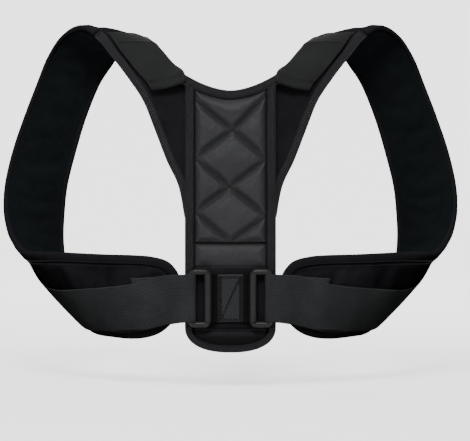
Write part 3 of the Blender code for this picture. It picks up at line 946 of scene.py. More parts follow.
@cache
def studio_floor():
    paint = Paint("studio_floor", 0.1, Emission_Strength=2.3)
    cloud = paint.noise(paint.place(), 1.5, 2.0)
    colour = paint.mix(cloud, (0.90, 0.90, 0.90), (0.92, 0.92, 0.92))
    # Painted light: the floor and its curved rim glow, dimmer in front and brighter towards the
    # back.
    depth = paint.split(paint.place())[1]
    glow = paint.mix(depth.above(0.2, 2.2), (0.32, 0.32, 0.32), (1.0, 1.0, 1.0))
    paint.join(glow, paint.shader.inputs["Emission Color"])
    return paint.finish(colour, 0.95 + cloud * 0.05)


# ------------------------------------------------------------------ how pieces move

def follow(item, body=None, bend=None):
    """Let a piece ride on a body; when a bend is given, only bake its transform into its mesh."""
    if bend is None:
        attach(item, body)
    else:
        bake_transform(item)
    return item


def metres(point, mirror=1.0):
    return (point[0] * mirror * MM, point[1] * MM, point[2] * MM)


def wing_bend(side, mirror):
    """The wing turns from the panel's side out to the loop."""
    return ("back_panel", "loop_" + side, metres((-45.6, -3, 90), mirror),
            metres((-78, -3, 90), mirror))


def ring_bend(side, mirror):
    return ("loop_" + side, "buckle_" + side, metres((-62, -10, -76), mirror),
            metres((-46, -10, -76), mirror))


def tab_bend(side, mirror):
    high, low = LOOP.at(6.80, 0.63, 5.0), LOOP.at(6.50, 0.63, 5.0)
    return ("loop_" + side, "tab_" + side, metres(high, mirror), metres(low, mirror))


def tip_bend(side, mirror):
    low = LOOP.at(TIP_CREASE + 0.10, 0.5, 8.0)
    high = LOOP.at(TIP_CREASE - 0.14, 0.5, 8.0)
    return ("loop_" + side, "tip_" + side, metres(low, mirror), metres(high, mirror))


def cut_area(strip, span, cross, warp=None):
    """Area of a strip's cloth in square metres, with its greatest width and its length."""
    s, run = strip.rows(span[0], span[1], 3.0)
    t = np.linspace(cross[0], cross[1], 12)
    ss, tt = np.meshgrid(s, t, indexing="ij")
    if warp is not None:
        ss, tt = warp(ss, tt)
    p = strip.mid(ss, tt)
    one = np.cross(p[1:, :-1] - p[:-1, :-1], p[:-1, 1:] - p[:-1, :-1])
    area = np.linalg.norm(one, axis=-1).sum() * MM * MM
    width = strip.width(s).max() * (cross[1] - cross[0]) * MM
    return area, width, max(run[-1] * MM, area / width)


# ------------------------------------------------------------------ panel outline

def neck_z(x):
    share = np.minimum(np.abs(x) / PANEL_HALF, 1.0)
    return NECK_CENTRE_Z + (NECK_SIDE_Z - NECK_CENTRE_Z) * share ** NECK_POWER


def tongue_z(x):
    share = np.minimum(np.abs(x) / PANEL_HALF, 1.0)
    drop = (1.0 - share ** TONGUE_POWER) ** (1 / TONGUE_POWER)
    return TONGUE_SHOULDER_Z - drop * (TONGUE_SHOULDER_Z - TONGUE_BOTTOM_Z)


def neck_path(distance, y, count, half):
    """Points at a distance inside the neckline, out to half on each side."""
    x = np.linspace(-1.0, 1.0, count) * half
    rise = (NECK_SIDE_Z - NECK_CENTRE_Z) * (np.abs(x) / PANEL_HALF) ** NECK_POWER
    slope = NECK_POWER * rise / np.maximum(np.abs(x), 0.01)
    z = NECK_CENTRE_Z + rise - distance * np.hypot(1.0, slope)
    return np.stack([x, np.full(count, float(y)), z], axis=1)


def tongue_path(distance, y, count):
    """Points at a distance inside the tongue's outline."""
    angle = np.linspace(math.pi, 2 * math.pi, count)
    c, s = np.cos(angle), np.sin(angle)
    x = np.sign(c) * np.abs(c) ** (2 / TONGUE_POWER) * (PANEL_HALF - distance)
    drop = TONGUE_SHOULDER_Z - TONGUE_BOTTOM_Z - distance
    z = TONGUE_SHOULDER_Z - np.abs(s) ** (2 / TONGUE_POWER) * drop
    return np.stack([x, np.full(count, float(y)), z], axis=1)


def quilt_lines():
    """The two sewing lines that zigzag down the cushion, hand sewn, so not quite even."""
    pitch = size_mm("quilt_pitch")
    high = 91.0
    uneven = (((-1, 2.6), (2.2, 0.2), (1, -1.2), (-1.0, -0.4), (-1, 2.2), (-0.6, 0.0)),
              ((1, 7.2), (2.2, 0.2), (-1, -0.4), (-1.0, -0.4), (1, -2.4), (-0.6, 0.0)))
    lines = []
    for line in uneven:
        points = []
        for row, (x, shift) in enumerate(line):
            z = high + pitch * (0.5 - 0.5 * row) + shift
            points.append((x * COVER_HALF if row % 2 == 0 else x, z))
        lines.append(points)
    return lines


def quilt_distance(x, z):
    """Distance to the nearest quilting line."""
    best = np.full(np.broadcast(x, z).shape, 1e9)
    for line in quilt_lines():
        for (x0, z0), (x1, z1) in zip(line, line[1:]):
            dx, dz = x1 - x0, z1 - z0
            f = np.clip(((x - x0) * dx + (z - z0) * dz) / (dx * dx + dz * dz), 0.0, 1.0)
            best = np.minimum(best, np.hypot(x - x0 - f * dx, z - z0 - f * dz))
    return best


def quilt_channel(x, z):
    edge = np.minimum(COVER_HALF - np.abs(x), np.minimum(z - QUILT_BOTTOM_Z, neck_z(x) - 9.0 - z))
    return quilt_distance(x, z), edge


def lower_channel(x, z):
    side = COVER_HALF - np.abs(x)
    band = np.minimum(-21.6 - z, z - BAND_BOTTOM_Z)
    floor = np.where(z > TONGUE_PUFF_TOP_Z, 30.0, z - tongue_z(x) - 7.0)
    tongue = np.minimum(TONGUE_PUFF_TOP_Z - z, floor)
    return np.where(z > BAND_BOTTOM_Z, band, tongue), side


def cushion(name, top_of, bottom_of, channel, puff, soft, pressure, dark=None):
    """Padded cover over the panel, blown up between its sewn channels."""
    cols, rows = 49, max(int((top_of(0.0) - bottom_of(0.0)) / 1.5), 12)
    x = np.linspace(-COVER_HALF, COVER_HALF, cols)
    share = np.linspace(0.0, 1.0, rows)
    xx, ff = np.meshgrid(x, share, indexing="xy")
    zz = bottom_of(xx) + (top_of(xx) - bottom_of(xx)) * ff
    line, edge = channel(xx, zz)
    near = np.clip(np.minimum(line, edge), 0.0, None)
    dome = 0.62 * smooth(near / soft) + 0.38 * smooth(near / (2.6 * soft))
    pucker = np.exp(-near / 4.0) * (1.0 - np.exp(-near / 0.9)) * ripple(xx * 0.9, zz * 1.0, 2.0)
    face = COVER_Y - puff * dome - 0.16 * pucker - 0.10 * ripple(xx * 0.16, zz * 0.13, 5.0) * dome
    item = shell(name, np.stack([xx, face, zz], axis=-1),
                 np.stack([xx, np.full_like(xx, -3.4), zz], axis=-1), xx, zz, quilted_satin())
    held = np.concatenate([1.0 - smooth((near.ravel() - 0.5) / 1.8), np.ones(xx.size)])
    inflate(item, held, pressure, 0.008)
    # Painted shade: the cover turns dark in and beside its sewn channels, and wherever the dark
    # function says so.
    fold = 0.62 * np.exp(-(near / 2.3) ** 2) + 0.22 * np.exp(-(near / 6.0) ** 2)
    if dark is not None:
        fold = np.maximum(fold, dark(xx, zz))
    shade_points(item, np.concatenate([fold.ravel(), np.ones(xx.size)]))
    return subdivided(item)


# ------------------------------------------------------------------ panel pieces

def lens(depths, halves):
    """Closed cross-section of a tape: depths inwards from the edge, and half thicknesses."""
    depths = np.asarray(depths, float)
    halves = np.asarray(halves, float)
    return np.concatenate([np.stack([depths, halves], 1), np.stack([depths, -halves], 1)[::-1]])


def tape_round(name, points, normals, section, material, mirror=1.0, flip=False):
    """Closed tape folded over an edge; it keeps its width on the edge's inner side."""
    tangent = unit(np.gradient(points, axis=0))
    inward = unit(np.cross(tangent, normals)) * (-1.0 if flip else 1.0)
    body = (points[:, None, :] + inward[:, None, :] * section[None, :, :1]
            + normals[:, None, :] * section[None, :, 1:])
    rows, count = body.shape[:2]
    faces = []
    for a in range(0, (rows - 1) * count, count):
        faces += [(a + j, a + (j + 1) % count, a + count + (j + 1) % count, a + count + j)
                  for j in range(count)]
    faces += [tuple(range(count)), tuple(range(rows * count - count, rows * count))]
    around = path_run(np.concatenate([section, section[:1]]))[:-1]
    return make_object(name, body.reshape(-1, 3), faces, material,
                       path_run(points)[:, None], around[None, :], mirror)


def panel_side(x_in, y, top, bottom=0.0):
    """Points down one side of the panel, x_in from its edge."""
    z = np.linspace(TONGUE_SHOULDER_Z + bottom, float(neck_z(PANEL_HALF - x_in)) - top, 150)
    return np.stack([np.full(150, x_in - PANEL_HALF), np.full(150, float(y)), z], axis=1)


class BRACE_OT_lining(bpy.types.Operator):
    """Spacer-mesh lining against the back, and the stay board inside"""
    bl_idname = "brace.lining"
    bl_label = "Back lining"

    def execute(self, context):
        inset = 1.0
        x = np.linspace(-1.0, 1.0, 61)
        x = np.sign(x) * np.abs(x) ** 0.85 * (PANEL_HALF - inset)
        share = np.linspace(0.0, 1.0, 120)
        xx, ff = np.meshgrid(x, share, indexing="xy")
        low = tongue_z(xx) + inset * 1.4
        zz = low + (neck_z(xx) - inset * 1.4 - low) * ff
        edge = np.minimum(PANEL_HALF - np.abs(xx), np.minimum(zz - tongue_z(xx), neck_z(xx) - zz))
        dent = 1.1 * np.exp(-np.clip(edge - 7.5, 0.0, None) / 3.0)
        front = np.stack([xx, -0.05 - dent - 0.08 * ripple(xx * 0.2, zz * 0.17, 4.0), zz], axis=-1)
        back = np.stack([xx, np.full_like(xx, -2.4), zz], axis=-1)
        item = shell("spacer_lining_panel", front, back, xx, zz, spacer_lining())
        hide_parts("back_lining")
        follow(item, "back_panel")
        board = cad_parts["stiffener_board"]
        for place in board.material_slots:
            place.material = stay_board()
        return {"FINISHED"}


def tongue_painted_shade(x, z):
    """Painted shade on the tongue's cover, which turns dark below the top of its puff."""
    return 0.88 * smooth((TONGUE_PUFF_TOP_Z + 1.0 - z) / 9.0)


class BRACE_OT_quilted_cover(bpy.types.Operator):
    """Diamond-quilted spine cushion, with a smooth band and a padded tongue below it"""
    bl_idname = "brace.quilted_cover"
    bl_label = "Quilted cover"

    def execute(self, context):
        upper = cushion("spine_cushion", lambda x: neck_z(x) - 2.8,
                        lambda x: QUILT_BOTTOM_Z + 0.0 * x, quilt_channel,
                        size_mm("puff") * 0.70, 6.6, 2.8)
        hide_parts("quilted_cover", "spine_foam")
        follow(upper, "back_panel")
        lower = cushion("band_and_tongue", lambda x: -21.3 + 0.0 * x, lambda x: tongue_z(x) + 3.2,
                        lower_channel, 3.2, 8.0, 2.2, tongue_painted_shade)
        # The tongue gets a less reflective copy of the satin, so that its painted shade stays dark.
        lower.data.materials.append(tongue_satin())
        for face in lower.data.polygons:
            face.material_index = int(face.center.z < TONGUE_PUFF_TOP_Z * MM)
        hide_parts("lower_cover")
        follow(lower, "back_panel")
        return {"FINISHED"}


class BRACE_OT_panel_tapes(bpy.types.Operator):
    """Tapes folded over the panel's sides, neckline and tongue"""
    bl_idname = "brace.panel_tapes"
    bl_label = "Panel tapes"

    def execute(self, context):
        face_up = np.array([0.0, -1.0, 0.0])
        fold = lens((-0.55, -0.35, 0.2, 1.4, 4.5, 7.8, 8.9, 9.3),
                    (0.4, 3.2, 4.9, 5.3, 5.45, 5.2, 4.6, 3.4))
        for side, mirror in SIDES:
            points = panel_side(0.6, 0.0, 7.5)
            normals = np.tile(face_up, (len(points), 1))
            sway = 0.12 * ripple(points[:, 2] * 0.11, 0.0 * points[:, 2], 3.0 + mirror)
            points[:, 1] = -5.3 - sway
            item = tape_round("side_tape_fold_" + side, points, normals, fold,
                              ribbed_tape(), mirror)
            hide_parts("side_tape_" + side)
            follow(item, "back_panel")
            lines = [flat_line(panel_side(x_in, -10.85, 7.0, 3.0)) for x_in in (0.9, 8.9)]
            rows = stitches("side_stitches_" + side, lines, mirror=mirror)
            follow(rows, "back_panel")
            paths = [flat_line(panel_side(x_in, -10.95, 9.0, 3.0)) for x_in in (2.6, 7.3)]
            zig = zigzags("side_zigzag_" + side, paths, 1.2, 1.3, 0.72, mirror)
            follow(zig, "back_panel")
        wide = lens((-0.5, -0.2, 0.6, 1.8, 4.5, 7.6, 8.6, 9.0),
                    (0.5, 3.6, 5.2, 5.6, 5.7, 5.5, 4.9, 3.6))
        points = neck_path(0.55, -5.5, 80, half=PANEL_HALF + 2.6)
        item = tape_round("neck_binding_fold", points, np.tile(face_up, (80, 1)), wide,
                          ribbed_tape())
        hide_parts("neck_binding")
        follow(item, "back_panel")
        slim = lens((-0.5, -0.2, 0.6, 1.6, 3.5, 5.6, 6.6, 7.0),
                    (0.5, 3.6, 5.1, 5.4, 5.5, 5.3, 4.8, 3.6))
        points = tongue_path(0.55, -5.5, 140)
        item = tape_round("tongue_binding_fold", points, np.tile(face_up, (140, 1)), slim,
                          ribbed_tape(), flip=True)
        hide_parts("tongue_binding")
        follow(item, "back_panel")
        lines = [flat_line(neck_path(inset, -11.1, 70, PANEL_HALF - 3)) for inset in (7.4, 2.0)]
        lines += [flat_line(tongue_path(5.9, -10.85, 120)), flat_line(tongue_path(1.8, -10.9, 120))]
        rows = stitches("binding_stitches", lines)
        follow(rows, "back_panel")
        return {"FINISHED"}


class BRACE_OT_quilt_stitching(bpy.types.Operator):
    """Lock stitches in the quilting channels and round the smooth band"""
    bl_idname = "brace.quilt_stitching"
    bl_label = "Quilt stitching"

    def execute(self, context):
        lines = []
        for line in quilt_lines():
            lines += [straight_line(start, end, COVER_Y - 0.25, 30)
                      for start, end in zip(line, line[1:])]
        for z in (QUILT_BOTTOM_Z - 1.6, BAND_BOTTOM_Z + 1.0, TONGUE_PUFF_TOP_Z):
            lines.append(straight_line((-COVER_HALF, z), (COVER_HALF, z), COVER_Y - 0.5, 60))
        rows = stitches("quilt_stitches", lines)
        follow(rows, "back_panel")
        return {"FINISHED"}


def arc(centre, radius, first, last, count):
    angle = np.radians(np.linspace(first, last, count))
    return np.stack([centre[0] + radius * np.cos(angle), centre[1] + radius * np.sin(angle)], 1)


class BRACE_OT_painted_shade_sheet(bpy.types.Operator):
    """Dark brushed sheet over the panel behind the rings: painted shade where the panel lies in
    deep shadow
    """
    bl_idname = "brace.ring_base"
    bl_label = "Ring base"

    def execute(self, context):
        half = COVER_HALF - 0.2
        cloth = Strip([((-half, COVER_Y - 0.5, z), (half, COVER_Y - 0.5, z), 0.0)
                       for z in (TONGUE_PUFF_TOP_Z + 1.0, -76.0, BAND_BOTTOM_Z - 1.0)])
        thick = rounded(0.25, 1.2)
        item = strip_piece(
            "ring_base_cloth", cloth, (0.0, 2.0), (0.0, 1.0), 2.0,
            lambda s, d, e: thick(s, d, e) - 0.25, lambda s, d, e: thick(s, d, e) + 0.25,
            brushed_loop())
        follow(item, "back_panel")
        return {"FINISHED"}


class BRACE_OT_anchor_patch(bpy.types.Operator):
    """Webbing patch sewn to the middle of the panel, with a loop round each ring"""
    bl_idname = "brace.anchor_patch"
    bl_label = "Anchor patch"

    def execute(self, context):
        half = size_mm("web_thickness") * 0.5
        rail = (-INNER_RAIL_X, RAIL_Y)
        reach = size_mm("rail") + 0.15 + half
        back = COVER_Y - 0.4 - half
        front = back - half * 2.0 - 0.15
        line = np.concatenate([
            np.array([[-0.5, back], [-8.0, back], [-13.5, back - 0.2], [-17.5, back - 0.6]]),
            arc(rail, reach, 62, 300, 30),
            np.array([[-16.4, front - 1.9], [-13.6, front - 0.5], [-11.0, front],
                      [-5.0, front], [-0.5, front]]),
        ])
        whole = np.concatenate([line, (line * (-1.0, 1.0))[::-1]])
        run = path_run(np.c_[whole, np.zeros(len(whole))])
        even = np.linspace(0.0, run[-1], 150)
        x = np.interp(even, run, whole[:, 0])
        y = np.interp(even, run, whole[:, 1])
        for _ in range(2):
            x[1:-1] = (x[:-2] + x[1:-1] * 2 + x[2:]) / 4
            y[1:-1] = (y[:-2] + y[1:-1] * 2 + y[2:]) / 4
        mid = web_turn(np.stack([x, y], 1))
        item = cloth_band("anchor_loops", mid, half, twill_patch())
        # Painted shade on each loop's slope down to the patch, and on its outer side round the
        # rail.
        away = np.abs(mid[..., 0])
        loop_slope_shade = 0.97 * smooth((away - 12.0) / 0.8) * smooth((21.4 - away) / 2.6)
        shade_points(item, np.tile((loop_slope_shade + 0.8 * smooth((away - 24.0) / 1.2)).ravel(), 2))
        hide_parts("anchor_webbing")
        follow(item, "back_panel")
        y_top = front - half - 0.05
        box, row, top, low = 9.4, 11.2, WEB_TOP_Z - 2.6, WEB_BOTTOM_Z + 2.6
        corners = [(-box, low), (-box, top), (box, top), (box, low), (-box, low), (box, top)]
        ends = list(zip(corners, corners[1:])) + [((x, top), (x, low)) for x in (-row, row)]
        lines = [straight_line(start, end, y_top, 40) for start, end in ends]
        rows = stitches("patch_stitches", lines, thread=2.0)
        follow(rows, "back_panel")
        return {"FINISHED"}


def cloth_band(name, mid, half, material, mirror=1.0, wave=0.0):
    """Closed band of webbing round a grid of middle points, thinner at its woven edges."""
    along = unit(np.gradient(mid, axis=0))
    across = unit(np.gradient(mid, axis=1))
    normal = unit(np.cross(across, along))
    steps = np.linalg.norm(np.diff(mid, axis=1), axis=-1)
    side = np.concatenate([np.zeros((len(mid), 1)), np.cumsum(steps, axis=1)], axis=1)
    near = np.minimum(side, side[:, -1:] - side)
    thick = half * (0.45 + 0.55 * np.sqrt(np.clip(near / 0.9, 0.0, 1.0)))
    run = path_run(mid[:, mid.shape[1] // 2])
    if wave:
        lift = wave * ripple(run[:, None] * 0.05, side * 0.07, 6.0)
        mid = mid + normal * lift[..., None]
    return shell(name, mid + normal * thick[..., None], mid - normal * thick[..., None],
                 run[:, None], side, material, mirror)


class BRACE_OT_rings(bpy.types.Operator):
    """Two rectangular rings of glossy round bar"""
    bl_idname = "brace.rings"
    bl_label = "Ring buckles"

    def execute(self, context):
        for side, mirror in SIDES:
            low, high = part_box("ring_buckle_" + side)
            middle = (low + high) * 0.5
            rail = sizes().rail
            item = add_object("ring_bar_" + side, bpy.data.meshes.new("ring"))
            run_tree(item, ring_tree(), Width=high.x - low.x - 2 * rail,
                     Height=high.z - low.z - 2 * rail, Corner=3.4 * MM, Radius=rail,
                     Centre=tuple(middle), Material=glossy_plastic())
            face_outwards(item.data, merge=1e-6)
            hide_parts("ring_buckle_" + side)
            follow(item, "buckle_" + side)
        return {"FINISHED"}


# ------------------------------------------------------------------ wings and shoulder tabs

def edge_rows(strip, first, last, share):
    """Points and normals along one edge of a strip, running from first to last."""
    s, _ = strip.rows(min(first, last), max(first, last), 2.2, share)
    if last < first:
        s = s[::-1]
    t = np.full(len(s), share)
    return strip.mid(s, t), strip.directions(s, t)[2]


class BRACE_OT_wings(bpy.types.Operator):
    """Brushed wings from the panel to the shoulders, with taped edges"""
    bl_idname = "brace.wings"
    bl_label = "Wings"

    def execute(self, context):
        span, cross = (0.0, WING_END + 0.35), (0.0, 1.0)
        area, width, length = cut_area(WING, span, cross)
        tape = lens((-0.9, -0.7, -0.1, 0.8, 4.0, 6.8, 7.7, 8.2),
                    (0.2, 0.9, 1.7, 2.0, 2.05, 1.9, 1.5, 0.6))
        slim = lens((-0.7, -0.5, 0.0, 0.7, 2.2, 3.8, 4.4, 4.8),
                    (0.2, 0.8, 1.5, 1.8, 1.85, 1.7, 1.4, 0.6))
        for side, mirror in SIDES:
            bend = wing_bend(side, mirror)

            def sag(s, d, e):
                return 0.25 * ripple(s * 3.1, d * 0.13, 7.0 + mirror)

            item = strip_piece("brushed_wing_" + side, WING, span, cross, 2.4,
                               sag, rounded(1.1, 2.5), brushed_loop(), mirror)
            subdivided(item)
            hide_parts("wing_" + side)
            follow(item, bend=bend)
            points, normals = edge_rows(WING, 0.02, 7.30, 0.0)
            item = tape_round("wing_edge_fold_" + side, points, normals, tape,
                              ribbed_tape(), mirror)
            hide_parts("wing_edge_tape_" + side)
            follow(item, bend=bend)
            points, normals = edge_rows(WING, 7.30, 3.9, 1.0)
            item = tape_round("wing_neck_fold_" + side, points, normals, slim,
                              ribbed_tape(), mirror)
            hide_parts("wing_neck_tape_" + side)
            follow(item, bend=bend)
            s, _ = WING.rows(0.3, 4.7, 2.0, 0.0)
            paths = [strip_line(WING, s, 3.9 / WING.width(s), 2.2)]
            zig = zigzags("wing_zigzag_" + side, paths, 1.45, 2.6, 0.8, mirror)
            follow(zig, bend=bend)
            inner, _ = LOOP.rows(0.9, 7.2, 2.0, 0.0)
            lines = [strip_line(WING, inner, 9.6 / WING.width(inner), 1.15)]
            neck, _ = WING.rows(4.1, 7.2, 2.0, 1.0)
            lines.append(strip_line(WING, neck, 1.0 - 3.6 / WING.width(neck), 1.85))
            rows = stitches("wing_stitches_" + side, lines, mirror=mirror)
            follow(rows, bend=bend)
        return {"FINISHED"}


def tab_skew(s, t):
    """The tab's hem is cut at a slant to the wing under it."""
    near = smooth((5.4 - s) / 1.3)
    share = (t - TAB_LEFT) / (TAB_RIGHT - TAB_LEFT)
    return (s + near * (0.06 - 0.72 * share + 0.09 * share ** 2),
            t + near * (0.07 + 0.05 * share ** 2))


class BRACE_OT_shoulder_tabs(bpy.types.Operator):
    """Hemmed tabs folded down over the wings, with a hook patch behind"""
    bl_idname = "brace.shoulder_tabs"
    bl_label = "Shoulder tabs"

    def execute(self, context):
        span, cross = (TAB_HEM, TAB_TOP - 0.35), (TAB_LEFT, TAB_RIGHT)
        area, width, length = cut_area(LOOP, span, cross, tab_skew)

        def half(s, d, e):
            hem = 1.0 - smooth((s - (TAB_HEM + 0.34)) / 0.05)
            near = np.clip(np.minimum(d, e) / 1.6, 0.0, 1.0)
            edge = 0.25 + 0.75 * np.sqrt(np.clip(1.0 - (1.0 - near) ** 2, 0.0, 1.0))
            crease = 1.0 - 0.35 * np.exp(-((s - TAB_CREASE) / 0.05) ** 2)
            return (1.15 + 0.85 * hem) * crease * edge

        for side, mirror in SIDES:
            bend = tab_bend(side, mirror)

            def middle(s, d, e):
                lowered = smooth((s - (TAB_CREASE - 0.25)) / 0.5)
                curl = 1.5 * smooth((TAB_HEM + 0.5 - s) / 0.5)
                over_panel = 1.8 * smooth((4.05 - s) / 0.45)
                wave = 0.25 * ripple(s * 2.3, d * 0.10, 9.0 + mirror)
                return 5.3 - 2.2 * lowered + curl + over_panel + wave

            item = strip_piece("folded_tab_" + side, LOOP, span, cross, 1.5, middle, half,
                               tab_webbing(), mirror, tab_skew)
            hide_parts("shoulder_tab_" + side, "shoulder_tab_base_" + side)
            follow(item, bend=bend)
            hook = strip_piece(
                "tab_hooks_" + side, LOOP, (TAB_HEM + 0.25, TAB_CREASE - 0.35), (0.32, 0.94), 2.5,
                lambda s, d, e: 3.65 + 0.0 * s, lambda s, d, e: 0.55 + 0.0 * s, hook_tape(), mirror)
            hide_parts("shoulder_hook_" + side)
            follow(hook, "tab_" + side)
            t = np.linspace(TAB_LEFT + 0.05, TAB_RIGHT - 0.05, 40)
            s = np.full(40, TAB_CREASE - 0.14)
            points, up, _ = strip_line(LOOP, s, t, 6.35)
            along = LOOP.directions(s, t)[0]
            cross_lines = [(points, up, along), (points, up, -along)]
            item = zigzags("tab_cross_stitch_" + side, cross_lines, 2.2, 1.5, 0.6, mirror,
                           thread_cotton())
            follow(item, bend=bend)
            lines = []
            for level in (TAB_HEM + 0.36, TAB_HEM + 0.44):
                hem_s, hem_t = tab_skew(np.full(40, level), t)
                lines.append(strip_line(LOOP, hem_s, hem_t, middle(hem_s, 8.0, 0.0) + 1.75))
            rows = stitches("tab_hem_stitches_" + side, lines, mirror=mirror, thread=1.2)
            follow(rows, "tab_" + side)
        return {"FINISHED"}


# ------------------------------------------------------------------ straps

class BRACE_OT_strap_pads(bpy.types.Operator):
    """Foam pads over the shoulders and under the arms, bound round their edges"""
    bl_idname = "brace.strap_pads"
    bl_label = "Strap pads"

    def execute(self, context):
        edge = size_mm("pad_edge")
        crown = size_mm("pad_half") - 1.9
        span, step = (STRAP_START, STRAP_END), 4.2

        def half(s, d, e):
            near = np.minimum(d, e)
            dome = smooth((near - 6.5) / 15.0) ** 0.7
            groove = 0.45 * np.exp(-((near - 8.6) / 1.3) ** 2)
            return edge * np.clip(near / 2.0, 0.35, 1.0) + (crown - edge) * dome - groove

        for side, mirror in SIDES:
            def fold(s, d, e):
                near = np.clip((np.minimum(d, e) - 9.0) / 12.0, 0.0, 1.0)
                return 0.45 * near * ripple(s * 3.4, d * 0.09, 4.0 + mirror)

            item = strip_piece("strap_pad_" + side, LOOP, span, (0.0, 1.0), step, fold, half,
                               strap_satin(), mirror)
            s, run = LOOP.rows(*span, step)
            count = len(item.data.vertices) // 2
            share = np.linspace(0.0, 1.0, count // len(s))
            d = np.minimum(share, 1.0 - share)[None, :] * LOOP.width(s)[:, None]
            near = np.minimum(d, np.minimum(run, run[-1] - run)[:, None])
            held = 1.0 - smooth((near.ravel() - 9.5) / 4.0)
            inflate(item, np.concatenate([held, held]), 1.6, 0.03)
            lined(item, count, spacer_lining())
            subdivided(item)
            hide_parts("strap_foam_" + side, "strap_cover_" + side, "strap_lining_" + side)
            follow(item, "loop_" + side)
            self.bind(side, mirror)
        return {"FINISHED"}

    def bind(self, side, mirror):
        last, turn_in = STRAP_END - 0.32, 0.32
        s_a, _ = LOOP.rows(STRAP_START - 0.05, last, 2.2, 0.0)
        s_b, _ = LOOP.rows(STRAP_START - 0.05, last, 2.2, 1.0)
        turn = np.linspace(0.0, math.pi / 2, 8)[1:]
        s = np.concatenate([s_a, last + turn_in * np.sin(turn), np.full(6, STRAP_END),
                            last + turn_in * np.sin(turn[::-1]), s_b[::-1]])
        t = np.concatenate([0.0 * s_a, 0.16 * (1 - np.cos(turn)), np.linspace(0.2, 0.8, 6),
                            1.0 - 0.16 * (1 - np.cos(turn[::-1])), 1.0 + 0.0 * s_b])
        points = LOOP.mid(s, t)
        normals = LOOP.directions(s, t)[2]
        tape = np.array((
            (-2.1, 0.4), (-1.9, 1.9), (-1.2, 3.2), (0.2, 4.0), (3.6, 4.1), (6.4, 3.8), (7.4, 3.2),
            (8.0, 1.2), (6.0, -0.6), (3.2, -1.4), (2.4, -2.4), (1.2, -3.1), (0.0, -3.3),
            (-1.2, -2.7), (-1.9, -1.6)))
        item = tape_round("strap_binding_fold_" + side, points, normals, tape, ribbed_binding(),
                          mirror)
        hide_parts("strap_binding_" + side)
        follow(item, "loop_" + side)
        lines = []
        for inset, height in ((6.4, 3.86), (10.2, 3.1)):
            for edge in (0.0, 1.0):
                rows, _ = LOOP.rows(STRAP_START + 0.05, 26.5, 2.2, edge)
                share = inset / LOOP.width(rows)
                lines.append(strip_line(LOOP, rows, np.abs(edge - share), height))
        rows = stitches("strap_stitches_" + side, lines, mirror=mirror)
        follow(rows, "loop_" + side)


def lined(item, count, material):
    """Faces of the second grid, which touches the wearer, get the lining."""
    item.data.materials.append(material)
    for face in item.data.polygons:
        if min(face.vertices) >= count:
            face.material_index = 1


def web_edges(s):
    """Across the strap, where the webbing's upper and lower edges lie at given stations."""
    track = np.array(WEB_TRACK, float)
    return (spline_at(track[:, k:k + 1], 25.0 - s)[..., 0] for k in (1, 2))


def web_middle(first, last, height, share, rise=0.0):
    """Middle points of webbing lying on the strap, at the given height over it."""
    rows, _ = LOOP.rows(min(first, last), max(first, last), 3.0)
    s = rows if last > first else rows[::-1]
    lift = rise * (25.2 - s)
    upper, lower = (edge - lift for edge in web_edges(s))
    ss = np.repeat(s[:, None], len(share), 1)
    tt = upper[:, None] + (lower - upper)[:, None] * share[None, :]
    lifted = height + (1.0 * smooth((ss - 23.3) / 0.6) if rise == 0.0 else 0.0)
    return LOOP.at(ss, tt, lifted)


def web_turn(flat):
    """Middle points of webbing at the ring, from x and y places."""
    z = WEB_TOP_Z + (WEB_BOTTOM_Z - WEB_TOP_Z) * WEB_SHARE
    return np.stack([np.repeat(flat[:, :1], len(z), 1), np.repeat(flat[:, 1:], len(z), 1),
                     np.repeat(z[None, :], len(flat), 0)], axis=-1)


def bridge(before, after, count):
    """Rows that lead smoothly from one grid of middle points to the next."""
    p0, p1 = before[-1], after[0]
    span = np.linalg.norm(p1 - p0, axis=-1, keepdims=True)
    m0 = unit(before[-1] - before[-2]) * span
    m1 = unit(after[1] - after[0]) * span
    f = np.linspace(0.0, 1.0, count + 2)[1:-1, None, None]
    return ((2 * f ** 3 - 3 * f ** 2 + 1) * p0 + (f ** 3 - 2 * f ** 2 + f) * m0
            + (3 * f ** 2 - 2 * f ** 3) * p1 + (f ** 3 - f ** 2) * m1)


